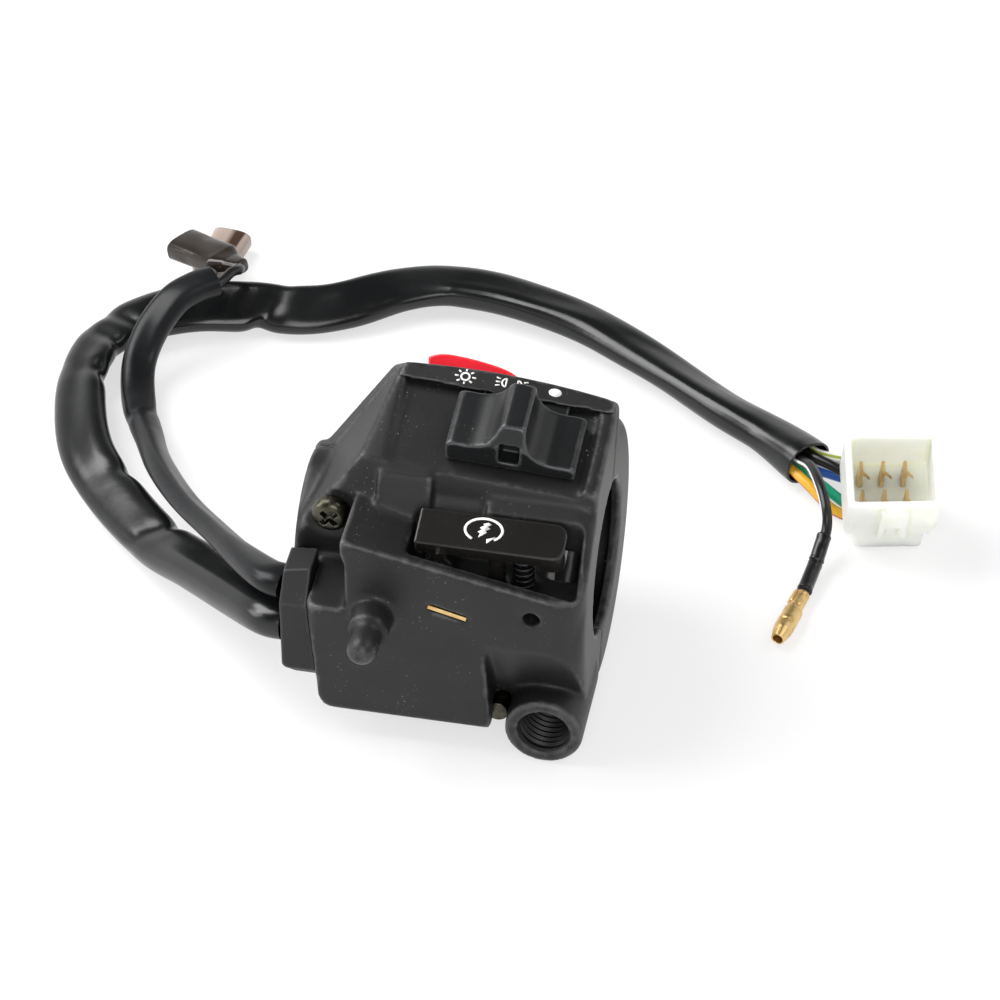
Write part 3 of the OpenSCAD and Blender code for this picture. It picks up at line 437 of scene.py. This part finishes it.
def smooth_line(points, rings):
    """Catmull-Rom curve through given points, the same one that the solids follow."""
    p = np.asarray(points, float)
    u = np.linspace(0, len(p) - 1, rings)
    k = np.minimum(u.astype(int), len(p) - 2)
    s = (u - k)[:, None]
    a, b, c, d = (p[np.clip(k + shift, 0, len(p) - 1)] for shift in (-1, 0, 1, 2))
    return 0.5 * (2 * b + (c - a) * s + (2 * a - 5 * b + 4 * c - d) * s ** 2 + (3 * b - a - 3 * c + d) * s ** 3)


def frames_along(line):
    """Unit tangent, level side and upward vectors at each point of a line."""
    tangent = np.gradient(line, axis=0)
    tangent /= np.linalg.norm(tangent, axis=1, keepdims=True)
    side = np.cross(tangent, [0, 0, 1])
    side /= np.linalg.norm(side, axis=1, keepdims=True)
    return tangent, side, np.cross(side, tangent)


def length_of(line):
    """Running length of a line in millimetres, from 0 at its start."""
    return np.concatenate([[0], np.cumsum(np.linalg.norm(np.diff(line, axis=0), axis=1))])


LIP = 0.2
STRIPE_SPREAD, STRIPE_PEAK = radians(26), 1.15


def hose(name, line, width, height, finish, dents=(), wall=0.0, inside=0, power=2.0, turn=0.0,
         stripe=None, sides=48):
    """Section carried along a line: across = width / 2 x cos^(2/power), up = height / 2 x sin^(2/power), both
    turned by an angle and scaled by 1 minus, for each dent (place, reach, depth, angle, swirl per mm, lobes),
    depth x exp(-((s - place) / reach)^2) x ((1 + cos(lobes x a)) / 2)^3, where a is the angle round the section
    less the dent's angle and swirl x (s - place).
    With a wall, the far end turns in by that thickness and runs back inside for that many rings."""
    rings, s = len(line), length_of(line)
    tangent, side, above = frames_along(line)
    lean = np.broadcast_to(np.asarray(turn, float), (rings,))[:, None]
    side, above = side * np.cos(lean) + above * np.sin(lean), above * np.cos(lean) - side * np.sin(lean)
    half = [np.broadcast_to(np.asarray(v, float), (rings,))[:, None] / 2 for v in (width, height)]
    t = np.linspace(0, 2 * pi, sides, endpoint=False)[None]
    scale = np.ones((rings, sides))
    for place, reach, depth, angle, swirl, lobes in dents:
        bell = np.exp(-((s - place) / reach) ** 2)[:, None]
        wave = (1 + np.cos(lobes * (t - radians(angle) - swirl * (s - place)[:, None]))) / 2
        scale -= depth * bell * wave ** 3
    round_cos, round_sin = (np.sign(f(t)) * np.abs(f(t)) ** (2 / power) for f in (np.cos, np.sin))

    def skin(rows, shrink):
        across = (half[0][rows] - shrink) * round_cos * scale[rows]
        high = (half[1][rows] - shrink) * round_sin * scale[rows]
        return line[rows, None] + side[rows, None] * across[..., None] + above[rows, None] * high[..., None]

    layers = [skin(np.arange(rings), 0.0)]
    if wall:
        layers += [skin(np.array([rings - 1]), wall / 2) + tangent[-1] * LIP,
                   skin(np.arange(rings - 1, rings - inside, -1), wall)]
    points = np.concatenate(layers)
    rows = len(points)
    ends = [list(range(sides)), list(range(rows * sides - 1, (rows - 1) * sides - 1, -1))]
    piece = put(name, points.reshape(-1, 3), grid_faces(rows, sides) + ends, finish, "casing")
    if stripe is not None:
        far = np.abs((t - radians(stripe) + pi) % (2 * pi) - pi)
        shade = np.clip(STRIPE_PEAK - far / STRIPE_SPREAD, 0, 1)
        mark(piece, "stripe", np.broadcast_to(shade, (rows, sides)).ravel())
    print(name, round(float(s[-1]), 1), "mm long")
    return piece


print("grid helpers ready")

# %% [markdown]
# ## Sleeves
# The harness runs in vinyl sleeving that is wider than its wires, so it lies flattened and buckles where it
# bends. Each sleeve is a flattened oval carried along the route of its solid, and it leans over in the bends.
# The dents are valleys: long pairs that run along it and short creases across it where the photo shows them,
# and shallow ones in between.

# %% Sleeves
MAIN_ROUTE = [[-26.05, -20, -5], [-29.5, -19, -5.6], [-37, -11.5, -9.4], [-48, 0, -15], [-58, 10, -19.5],
              [-69, 22, -21], [-78, 34, -21], [-83, 47, -21], [-85, 59, -21], [-83, 69, -21], [-77, 76, -21],
              [-68, 81, -21], [-58, 83, -21], [-48, 84, -21], [-39, 88, -21], [-30, 94, -21], [-22, 97, -21],
              [-13, 97, -21], [-4, 95, -21], [7, 91, -21], [18, 85, -21], [29, 78, -21], [40, 70, -21],
              [49, 64, -21], [57, 57, -21]]
LEAD_ROUTE = [[-26.05, -20.2, 2.9], [-29.5, -18.8, 2.6], [-36, -11, -1], [-44, 0, -6], [-53, 12, -10.5],
              [-61, 25, -14.5], [-67, 38, -18.5], [-72, 50, -21.5], [-74.6, 60, -20], [-73.7, 67, -16.6],
              [-70.7, 73, -13.4], [-67.3, 77, -12.6], [-64.1, 79.6, -12.6]]
main_line, lead_line = smooth_line(MAIN_ROUTE, 560), smooth_line(LEAD_ROUTE, 340)
main_s, lead_s = length_of(main_line), length_of(lead_line)
chance = np.random.default_rng(7)


def shallow_dents(total, count):
    """Long valleys spread along a length, with reach, depth, angle and turn drawn from a seeded generator."""
    place = (np.arange(count) + chance.uniform(0.2, 0.8, count)) * total / count
    return np.stack([place, chance.uniform(6, 15, count), chance.uniform(0.03, 0.08, count),
                     chance.uniform(30, 150, count), chance.uniform(-0.06, 0.06, count),
                     chance.choice([1, 2], count)], 1).tolist()


# Place, reach, depth, angle, turn and lobes of the folds that the photo shows
MAIN_FOLDS = [(34, 22, 0.16, 80, 0.012, 2), (46, 3.5, 0.2, 40, 0.3, 1), (67, 4, 0.14, 15, 0.25, 1),
              (88, 26, 0.26, 95, -0.012, 2), (100, 3.5, 0.16, 20, 0.3, 1), (112, 3, 0.2, 60, 0.4, 1),
              (118, 3, 0.2, 110, -0.4, 1), (138, 16, 0.18, 75, 0.03, 2), (148, 3.5, 0.26, 40, 0.35, 1),
              (156, 8, 0.26, 85, 0.12, 1), (174, 16, 0.16, 110, -0.03, 2), (200, 20, 0.16, 80, 0.02, 2),
              (228, 20, 0.26, 60, 0.02, 1), (246, 18, 0.34, 115, 0.012, 1), (262, 8, 0.16, 60, 0, 1)]
LEAD_FOLDS = [(40, 26, 0.2, 90, 0.008, 2), (84, 3, 0.2, 110, -0.3, 1), (104, 14, 0.16, 85, 0.02, 2)]
# Wall and squareness of the section, and the span over which shallow dents are spread
SLEEVE_WALL, SLEEVE_POWER, MAIN_SPAN, LEAD_SPAN = 0.5, 2.4, 274, 126
# Width, height and lean (in radians) at places along each sleeve
MAIN_STEPS = [0, 50, 64, 168, 190, 262, 272]
main_wide = np.interp(main_s, MAIN_STEPS, [10, 10.2, 10.6, 10.6, 10.2, 10, 10.6])
main_high = np.interp(main_s, MAIN_STEPS, [7.4, 6.6, 5.8, 5.8, 6.8, 7.6, 8.8])
main_lean = np.interp(main_s, [0, 30, 60, 104, 128, 146, 164, 186, MAIN_SPAN],
                      [0.1, 0.1, 0.35, 0.5, -0.2, -0.6, -0.5, 0.1, 0.3])
LEAD_WIDE, LEAD_HIGH = 6.8, 4.8
lead_lean = np.interp(lead_s, [0, 20, 72, 92, LEAD_SPAN], [0.1, -0.7, -0.9, -0.2, -0.1])
main_sleeve = hose("harness_sleeve", main_line, main_wide, main_high, sleeve_vinyl,
                   MAIN_FOLDS + shallow_dents(MAIN_SPAN, 16), SLEEVE_WALL, 34, SLEEVE_POWER, main_lean,
                   sides=64)
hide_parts("main_sleeve")
lead_sleeve = hose("brake_lead_sleeve", lead_line, LEAD_WIDE, LEAD_HIGH, lead_vinyl,
                   LEAD_FOLDS + shallow_dents(LEAD_SPAN, 7), SLEEVE_WALL, 20, SLEEVE_POWER, lead_lean,
                   sides=52)
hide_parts("brake_sleeve")

# %% [markdown]
# ## Wires and ground lead
# Five vinyl wires leave the open end of the sleeve and bend into the connector's back. A sixth, the ground
# lead, arches over them and ends in a brass bullet with two pieces of heat-shrink. All are round hoses on
# the routes of their solids, drawn out 9 mm into the sleeve so that its dark mouth is filled.

# %% Wires
WIRE = 2
PLUG_AT, PLUG_LEAN, PLUG_TURN = np.array([74.4, 40.8, FLOOR]), radians(24), radians(12)
BLADE_PITCH, BLADE_ROW, BLADE_SHIFT, PLUG_DEPTH = 4.1, 2.9, -1.3, 15.4
PLUG_AXES = np.array([[cos(PLUG_TURN), sin(PLUG_TURN), 0],
                      [-sin(PLUG_TURN) * cos(PLUG_LEAN), cos(PLUG_TURN) * cos(PLUG_LEAN), sin(PLUG_LEAN)],
                      [sin(PLUG_TURN) * sin(PLUG_LEAN), -cos(PLUG_TURN) * sin(PLUG_LEAN), cos(PLUG_LEAN)]])


def on_plug(point):
    """A point of the connector's own frame in the common frame."""
    return PLUG_AT + np.asarray(point, float) @ PLUG_AXES


def pole_at(column, row, high):
    """A pole of the connector in its own frame: columns -1 to 1, rows -1 and 1."""
    return np.array([column * BLADE_PITCH + BLADE_SHIFT, PLUG_DEPTH / 2 + row * BLADE_ROW, high])


def on_end(route, across, high, ahead):
    """A point near a cord's end: across and above its middle, and ahead of its end face."""
    way = np.subtract(route[-1], route[-2])
    way = way / np.linalg.norm(way)
    side = np.cross(way, [0, 0, 1])
    side = side / np.linalg.norm(side)
    return np.array(route[-1]) + across * side + high * np.cross(side, way) + ahead * way


# Name: place on the sleeve's end, points between, pole of the connector, angle of the stripe
WIRES = {
    "blue": ((-1, -1.6), [[64, 56.4, -23.2], [68.9, 55.2, -23.4], [71.9, 53.1, -23.6]], (0, 1), 95),
    "green": ((1.2, -1.2), [[60.6, 52.6, -22.6], [65.4, 50, -24], [70.1, 47.8, -24.4]], (0, -1), -40),
    "yellow": ((3.4, -0.4), [[58.2, 51.6, -22.2], [62.6, 48.2, -23.8], [66.7, 46.5, -24.4]], (-1, -1), -20),
    "black": ((-0.6, 1.6), [[62, 55.2, -19.6], [65.6, 53.7, -20.4], [67.7, 52.4, -22]], (-1, 1), None),
    "white": ((-2.6, 0.8), [[66, 58.6, -21], [71.6, 57.3, -22], [75.6, 54.2, -23.4]], (1, 1), 60)}
# Steps of a wire from inside the sleeve to just outside its end
INSIDE_SLEEVE = (-9, -4, 0.05)
for name, (out, between, pole, stripe) in WIRES.items():
    foot = pole_at(*pole, -0.05)
    route = [on_end(MAIN_ROUTE, *out, ahead) for ahead in INSIDE_SLEEVE]
    route += [*between, on_plug(foot - [0, 0, 1]), on_plug(foot)]
    wire = hose("wire_" + name + "_cover", smooth_line(route, 90), WIRE, WIRE, wire_finish[name],
                stripe=stripe, sides=32)
    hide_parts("wire_" + name)

# %% Ground lead
GROUND_ROUTE = [on_end(MAIN_ROUTE, 1.2, 0.2, -9), on_end(MAIN_ROUTE, 1.8, 1.2, -4),
                on_end(MAIN_ROUTE, 2.3, 2.1, 0.05), [58.2, 51, -16.8], [60.6, 45, -15.8], [62.4, 40.4, -17],
                [63.1, 37.4, -19.6], [62.5, 33.8, -22], [61.7, 29.4, -23.4], [60.9, 23, -23.6]]
ground_line = smooth_line(GROUND_ROUTE, 150)
ground = hose("ground_lead", ground_line, WIRE, WIRE, wire_finish["ground"], stripe=8, sides=32)
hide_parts("ground_wire")
# Both ends of each piece of heat-shrink, and its two wrinkles
SHRINKS = (([62.9, 36.4, -20.4], [62.1, 31.4, -22.9]), ([62.05, 31.1, -23], [61, 23.8, -23.6]))
WRINKLES = [(1.6, 0.9, 0.06, 60, 0.4, 2), (3.4, 1.1, 0.07, 120, -0.3, 2)]
for k, (start, end) in enumerate(SHRINKS):
    line = smooth_line([start, end], 60)
    s = length_of(line)
    girth = np.interp(s, [0, 0.3, 1.2, s[-1] - 1, s[-1] - 0.3, s[-1]], [2.4, 2.8, 2.7, 2.7, 2.9, 2.5])
    hose("ground_shrink_%d" % (k + 1), line, girth, girth, shrink_vinyl,
                        WRINKLES, power=2.5, sides=40)
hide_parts("ground_crimps")

# %% Bullet
BULLET_START, BULLET_END, BULLET_LENGTH = np.array([60.9, 23, -23.6]), np.array([58.1, 10.3, -23.6]), 13.2
BULLET_WALL = 0.35
# The crimp's dimple and three flats of the pin
BULLET_DENTS = [(1.6, 1.7, 0.24, 95, 0, 1), (7, 1.8, 0.04, 140, 0, 3)]
way = (BULLET_END - BULLET_START) / np.linalg.norm(BULLET_END - BULLET_START)
line = BULLET_START + way * np.linspace(0, BULLET_LENGTH, 140)[:, None]
girth = 2 * np.interp(length_of(line), [0, 0.2, 3.6, 4.1, 4.5, 5.2, 8.8, 9, 9.3, 9.5, 11, BULLET_LENGTH],
                      [1.1, 1.38, 1.42, 1.3, 1.5, 1.8, 1.85, 1.7, 1.7, 1.85, 1.75, 1.25])
bullet = hose("bullet_pin", line, girth, girth, brass, BULLET_DENTS, BULLET_WALL, 30)
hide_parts("bullet_terminal")
WING_THICK, WING_ASIDE, WING_RAISED = 0.5, 1.45, np.array([0, 0, 0.35])
wing_line = line[2:36] + np.cross(way, [0, 0, 1]) * WING_ASIDE + WING_RAISED
wing_high = np.interp(np.arange(34), [0, 3, 30, 33], [1.2, 1.9, 1.7, 1.1])
wing = hose("bullet_crimp_wing", wing_line, WING_THICK, wing_high, brass, power=4.0, turn=0.5,
            sides=24)
print("bullet and its crimp wing")

# %% [markdown]
# ## Boots of the brake lamp lead
# Two flat vinyl boots cover the blade receptacles at the lead's end. A boot is a rounded box in section. It
# narrows to a neck round its wire and is cut open at the far end. One is smoky, the other clear.

# %% Boots
# Both ends of each boot, then its lead's place across the sleeve's end and the points between, and its neck
BOOTS = (([-62.6, 88.6, -15.1], [-76.4, 97.8, -18.7]), ([-69.5, 91.5, -23], [-67.5, 106.3, -23]))
LEADS = ((1.4, [[-61.4, 82.8, -12.6], [-60.4, 85, -13.4]]),
         (-1.4, [[-66.4, 84.2, -14.4], [-67.6, 85.9, -17.6], [-68.4, 87.7, -20.8]]))
NECKS = (2.8, 0.8)
INSIDE_LEAD = (-5, 0.05)
BOOT_LENGTH, BOOT_WALL, BOOT_POWER = 15.4, 0.7, 3.2
BOOT_DENTS = [(5, 3, 0.12, 80, 0.1, 2), (10, 4, 0.1, 110, -0.05, 1), (13, 2, 0.06, 60, 0, 3)]
boots, leads = [], []
for k, ((start, end), (across, between), neck) in enumerate(zip(BOOTS, LEADS, NECKS)):
    start, end = np.array(start), np.array(end)
    way = (end - start) / np.linalg.norm(end - start)
    line = start + way * np.linspace(-neck, BOOT_LENGTH, 100)[:, None]
    s = length_of(line) - neck
    steps = [-neck, 0.4 - neck, 0.6, 3.4, BOOT_LENGTH]
    boots.append(hose("lead_boot_%d" % (k + 1), line, np.interp(s, steps, [3, 3.6, 4.8, 8.1, 8.2]),
                      np.interp(s, steps, [2.6, 2.9, 3.1, 4.2, 4.5]), (boot_vinyl, clear_vinyl)[k],
                      BOOT_DENTS, BOOT_WALL, 50, BOOT_POWER, stripe=70, sides=56))
    route = [on_end(LEAD_ROUTE, across, 0, ahead) for ahead in INSIDE_LEAD]
    route += [*between, start - 1.6 * way, start + 1.5 * way]
    leads.append(hose("lead_wire_%d" % (k + 1), smooth_line(route, 70), WIRE, WIRE, wire_finish["black"],
                      sides=28))
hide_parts("spade_boots")
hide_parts("lead_wires")
print("boots:", len(boots))

# %% [markdown]
# ## Moulded pieces
# A moulded piece has no sharp edge: the mould's cutter rounds every inner corner and the plastic shrinks
# back from every outer one. The screws and the connector's shell are treated the same way. A bevel would
# need clean edges all round, so a copy of each solid is rebuilt from small cubes instead, and its points
# drift to the middle of their neighbours. Flat faces stay where they are, and only the edges melt. How far
# a point lies outside its neighbours' middle is kept as "edge".

# %% Rounded copies of the solids
def neighbour_mean(values, ends, count):
    """Mean of the neighbours of each point, along the mesh's edges."""
    a, b = ends.T
    total = [np.bincount(a, values[b, k], len(count)) + np.bincount(b, values[a, k], len(count))
             for k in range(values.shape[1])]
    return np.stack(total, 1) / count[:, None]


def read(items, field, kind, width):
    """One field of a mesh's points, edges or loops as an array."""
    values = np.empty(len(items) * width, kind)
    items.foreach_get(field, values)
    return values.reshape(-1, width)


def rounded(node, name, cube, passes, finish, slot):
    """Merges a solid's points, rebuilds its skin from cubes of that size, moves each point half way to the mean
    of its neighbours once a pass, and marks each point's curvature in 1/mm: 4 x its height over that mean /
    cube size squared, evened out over the neighbours."""
    solid = frame["nodes"][node]
    loose = np.round(read(solid.data.vertices, "co", np.float32, 3), 6)
    points, where = np.unique(loose, axis=0, return_inverse=True)
    corners = where.reshape(-1)[read(solid.data.loops, "vertex_index", np.int32, 1).reshape(-1, 3)]
    whole = (corners != np.roll(corners, 1, 1)).all(1)
    block = bpy.data.meshes.new(name + "_block")
    block.from_pydata(points.tolist(), [], corners[whole].tolist())
    piece = bpy.data.objects.new(name, block)
    bpy.context.collection.objects.link(piece)
    cubes = piece.modifiers.new("cubes", "REMESH")
    cubes.mode, cubes.voxel_size = "VOXEL", cube * MM
    mesh = bpy.data.meshes.new_from_object(piece.evaluated_get(bpy.context.evaluated_depsgraph_get()))
    piece.modifiers.clear()
    piece.data = mesh
    bpy.data.meshes.remove(block)
    ends = read(mesh.edges, "vertices", np.int32, 2)
    count = np.maximum(np.bincount(ends.ravel(), minlength=len(mesh.vertices)), 1)
    place = read(mesh.vertices, "co", np.float32, 3).astype(float)
    for _ in range(passes):
        place += 0.5 * (neighbour_mean(place, ends, count) - place)
    mesh.vertices.foreach_set("co", place.astype(np.float32).ravel())
    mesh.update()
    normal = read(mesh.vertex_normals, "vector", np.float32, 3)
    height = ((place - neighbour_mean(place, ends, count)) * normal).sum(1, keepdims=True)
    bend = height * 4 / (cube * MM) ** 2 * MM
    for _ in range(2):
        bend = neighbour_mean(bend, ends, count)
    mark(piece, "edge", np.clip(bend.ravel(), -1, 1))
    mesh.materials.clear()
    mesh.materials.append(finish)
    mesh.polygons.foreach_set("use_smooth", np.ones(len(mesh.polygons), bool))
    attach(piece, solid["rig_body"])
    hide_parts(node)
    print(name, len(mesh.polygons), "faces")
    return piece


# Node, name of the piece, size of the cubes, passes, finish and slot
ROUNDED = (("front_casing", "casing_front", 0.435, 8, housing, "housing_plastic"),
           ("rear_casing", "casing_rear", 0.38, 8, housing, "housing_plastic"),
           ("cable_grommet", "harness_grommet", 0.22, 6, grommet_rubber, "grommet_rubber"),
           ("light_knob", "slider_knob", 0.16, 28, knob_black, "knob_plastic"),
           ("starter_lever", "thumb_lever", 0.16, 7, lever_black, "lever_plastic"),
           ("stop_rocker", "stop_button", 0.16, 8, rocker_red, "rocker_plastic"),
           ("screw_inboard", "case_screw_1", 0.12, 5, screw_steel, "screw_steel"),
           ("screw_outboard", "case_screw_2", 0.12, 5, screw_steel, "screw_steel"),
           ("connector_shell", "connector_body", 0.2, 4, connector_nylon, "connector_nylon"))
rounded_pieces = [rounded(*row) for row in ROUNDED]

# %% [markdown]
# ## Connector blades
# Each blade is a thin brass tongue with a barb cut from it and bent out, which locks it in the shell. The
# tongues are the solids; the barbs are narrow strips that lean away from them and taper to their tips.

# %% Barbs of the blades
BARB_ROOT, BARB_TIP, BARB_HALF, BARB_THIN, BARB_TAPER = [0.2, 0, 11], [1.9, 0, 8.2], 0.4, 0.08, 0.7


def strip_between(start, end, half_width, half_thick):
    """Eight corners of a strip from start to end; its faces join them as a 2 by 4 grid with closed ends."""
    way = (end - start) / np.linalg.norm(end - start)
    wide = PLUG_AXES[1]
    thick = np.cross(way, wide)
    section = np.array([wide * half_width * a + thick * half_thick * b
                        for a, b in ((-1, -1), (1, -1), (1, 1), (-1, 1))])
    points = np.concatenate([start + section, end + section * BARB_TAPER])
    return points, grid_faces(2, 4) + [[0, 1, 2, 3], [7, 6, 5, 4]]


barb_points, barb_faces = [], []
for column in (-1, 0, 1):
    for row in (-1, 1):
        pole = pole_at(column, row, 0)
        points, faces = strip_between(on_plug(pole + BARB_ROOT), on_plug(pole + BARB_TIP), BARB_HALF, BARB_THIN)
        barb_faces += (np.array(faces) + len(barb_points) * 8).tolist()
        barb_points.append(points)
barbs = put("blade_barbs", np.concatenate(barb_points), barb_faces, brass, "casing")
print("barbs:", len(barb_points))

# %% [markdown]
# ## Thread in the cable boss
# The throttle cable's adjuster screws into the boss. The thread is a liner: its inner radius rises and falls
# as a triangle wave along the hole, shifted by one pitch for each turn, which makes a true helix.

# %% Thread
BOSS = np.array([21.6, -27.6, -18.5])
PITCH, THREAD_ROOT, THREAD_DEPTH, LINER = 1.25, 4.72, 0.62, 5.1
THREAD_FROM, THREAD_TO, RUN_IN, THREAD_SIDES = 0.7, 10.8, 2.2, 80
depth = np.linspace(THREAD_FROM, THREAD_TO, 170)
turn = np.linspace(0, 2 * pi, THREAD_SIDES, endpoint=False)
phase = (depth[:, None] / PITCH + turn[None] / (2 * pi)) % 1
radius = THREAD_ROOT - THREAD_DEPTH * np.minimum(1, depth / RUN_IN)[:, None] * (1 - np.abs(2 * phase - 1))
outer = np.full((1, THREAD_SIDES), LINER)
radius = np.concatenate([outer, radius, outer])
depth = np.concatenate([depth[:1], depth, depth[-1:]])
thread = np.stack([BOSS[0] + radius * np.cos(turn), BOSS[1] + np.broadcast_to(depth[:, None], radius.shape),
                   BOSS[2] + radius * np.sin(turn)], -1)
put("boss_thread", thread.reshape(-1, 3), grid_faces(len(depth), THREAD_SIDES, True), housing, "casing")
print("thread turns:", round((THREAD_TO - THREAD_FROM) / PITCH, 1))

# %% [markdown]
# ## Printed signs
# White signs are pad-printed: a lamp, a pair of side lamps and a dot on the slanting strip, and the starter
# sign on the lever. Each is a thin film on the surface: strokes are a flat section carried along a path, and
# filled shapes are an outline with a top and a bottom.

# %% Sign shapes
FILM = (-0.05, 0.05)


def stroke(path, width, ring=False):
    """A band of that width along a flat path, as a section of four points carried along it."""
    path = np.asarray(path, float)
    step = np.roll(path, -1, 0) - np.roll(path, 1, 0) if ring else np.gradient(path, axis=0)
    off = np.stack([-step[:, 1], step[:, 0]], 1) / np.linalg.norm(step, axis=1, keepdims=True) * width / 2
    rows = np.stack([np.column_stack([path + sign * off, np.full(len(path), z)])
                     for sign, z in ((-1, FILM[0]), (1, FILM[0]), (1, FILM[1]), (-1, FILM[1]))], 1)
    ends = [] if ring else [[0, 1, 2, 3], [len(path) * 4 - k for k in (1, 2, 3, 4)]]
    return rows.reshape(-1, 3), grid_faces(len(path), 4, ring) + ends


def filled(outline):
    """A flat shape inside an outline: a lower and an upper copy of it, joined round their edge."""
    outline = np.asarray(outline, float)
    n = len(outline)
    points = np.concatenate([np.column_stack([outline, np.full(n, z)]) for z in FILM])
    return points, grid_faces(2, n) + [list(range(n)), list(range(2 * n - 1, n - 1, -1))]


def oval(centre, a, b, first=0, last=360, n=48):
    """Points of an oval between two angles in degrees; a full turn leaves out the last point."""
    t = np.radians(np.linspace(first, last, n, endpoint=last - first < 360))
    return np.array(centre) + np.stack([a * np.cos(t), b * np.sin(t)], 1)


def sign(name, shapes, origin, axes, body, slot):
    """Joins flat shapes into one film and lays it on a plane given by its origin and three axes."""
    sizes = np.cumsum([0] + [len(points) for points, _ in shapes])
    faces = [[corner + int(first) for corner in face]
             for (_, part), first in zip(shapes, sizes) for face in part]
    points = np.concatenate([points for points, _ in shapes]) @ np.asarray(axes) + np.asarray(origin)
    return put(name, points, faces, white_ink, body)


def tilted(around_y, around_x):
    """Axes of a plane that is turned about X and then about Y, in degrees, one axis a row."""
    y, x = radians(around_y), radians(around_x)
    return (np.array([[cos(y), 0, sin(y)], [0, 1, 0], [-sin(y), 0, cos(y)]])
            @ np.array([[1, 0, 0], [0, cos(x), -sin(x)], [0, sin(x), cos(x)]])).T


# %% Signs on the strip and the lever
DECK_AT, DECK_ROLL, DECK_TILT = np.array([12, -3, 26.3]), 3.8, 11
STRIP_AT, STRIP_RISE = np.array([0, 8.8, 1.9]), 21
SUN_AT, LAMP_HIGH, DOT_AT = np.array([-11.35, 2.2]), 2.35, (4.68, 2.1)
# Widths of the printed lines: rays and bulbs, the lamp's ring, the side lamps' rays, the starter's ring
LINE, SUN_LINE, BEAM_LINE, STARTER_LINE = 0.3, 0.34, 0.26, 0.46
RAYS = np.array([[1.22, 1.05], [1.9, 1.5]])
rays = [stroke(SUN_AT + RAYS * [cos(a), sin(a)], LINE) for a in np.radians(np.arange(8) * 45.0)]
sun = [stroke(oval(SUN_AT, 0.74, 0.72), SUN_LINE, True)] + rays
# Two side lamps, back to back: a half-round bulb with three rays each
side_lamps = []
for way, middle in ((-1, -4.1), (1, -2.1)):
    bulb = oval((middle, LAMP_HIGH), 0.72 * way, 0.8, -90, 90, 24)
    back_of_bulb = np.linspace(bulb[-1], bulb[0], 8)[1:-1]
    side_lamps.append(stroke(np.concatenate([bulb, back_of_bulb]), LINE, True))
    side_lamps += [stroke(np.array([[middle + way * 1.05, LAMP_HIGH + 0.62 * k],
                                    [middle + way * 1.85, LAMP_HIGH + 0.8 * k]]), BEAM_LINE)
                   for k in (-1, 0, 1)]
sign("lamp_signs", sun + side_lamps + [filled(oval(DOT_AT, 1.15, 0.8))],
     DECK_AT + STRIP_AT @ tilted(DECK_ROLL, DECK_TILT), tilted(DECK_ROLL, STRIP_RISE), "casing",
     "housing_plastic")
# An open ring with an arrowhead at one end, and a bolt inside it
LEVER_AT, LEVER_TILT, LEVER_MIDDLE = (0, -20.5, 20.5), 17, np.array([9.6, 0.5])
arrow = LEVER_MIDDLE + np.array([[2.3, -1.1], [0.9, -2.6], [0.75, -1.75]])
bolt = LEVER_MIDDLE + np.array([[0.55, 1.6], [1.15, 1.25], [0.5, 0.75], [1.05, 0.4], [0.3, -0.1], [0.6, -0.45],
                                [-0.75, -1.6], [-0.55, -0.75], [-1.0, -0.45], [-0.35, 0.1], [-0.8, 0.4],
                                [-0.05, 0.95], [-0.3, 1.2]])
ring = stroke(oval(LEVER_MIDDLE, 3.25, 2.3, -50, 238), STARTER_LINE)
sign("starter_sign", [ring, filled(arrow), filled(bolt)], LEVER_AT, tilted(0, LEVER_TILT), "starter_thumb",
     "lever_plastic")
print("signs: 4")

# %% [markdown]
# ## Return spring of the lever
# A compression spring stands under the lever. Its wire is a round section on a helix.

# %% Return spring
SPRING_TURNS, SPRING_WIRE, SPRING_STROKE = 5, 0.6, 2.3
spring_low, spring_high = (np.array(corner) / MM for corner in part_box("starter_spring"))
spring_foot = np.append((spring_low + spring_high)[:2] / 2, spring_low[2])
spring_tall = spring_high[2] - spring_low[2]
spring_r = (spring_high[0] - spring_low[0] - SPRING_WIRE) / 2
wound = np.linspace(0, 2 * pi * SPRING_TURNS, 36 * SPRING_TURNS + 1)
rise = SPRING_WIRE / 2 + (spring_tall - SPRING_WIRE) * wound / wound[-1]
coil = spring_foot + np.stack([spring_r * np.cos(wound), spring_r * np.sin(wound), rise], 1)
spring = hose("return_spring", coil, SPRING_WIRE, SPRING_WIRE, spring_steel, sides=14)
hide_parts("starter_spring")
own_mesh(spring)

# %% [markdown]
# ## Inner parts
# Contacts, pins and the detent spring keep the shapes of their solids, and so do the plunger, the blades and
# the boots' receptacles. They take the finish of what they are made of.

# %% Finishes of the inner parts
INNER = {natural_nylon: ["light_carriage"], laminate: ["light_board", "stop_base"],
         brass: ["light_bridge", "light_studs", "starter_contact", "starter_strip", "stop_bridge",
                 "stop_contacts", "connector_blades"],
         bright_steel: ["light_detent_ball", "starter_pin"],
         spring_steel: ["light_detent_spring", "stop_pin"], lever_black: ["starter_plunger"],
         tin: ["spade_terminals"]}
for finish, names in INNER.items():
    for name in names:
        frame["nodes"][name].data.materials.clear()
        frame["nodes"][name].data.materials.append(finish)
print("inner parts:", sum(len(names) for names in INNER.values()))
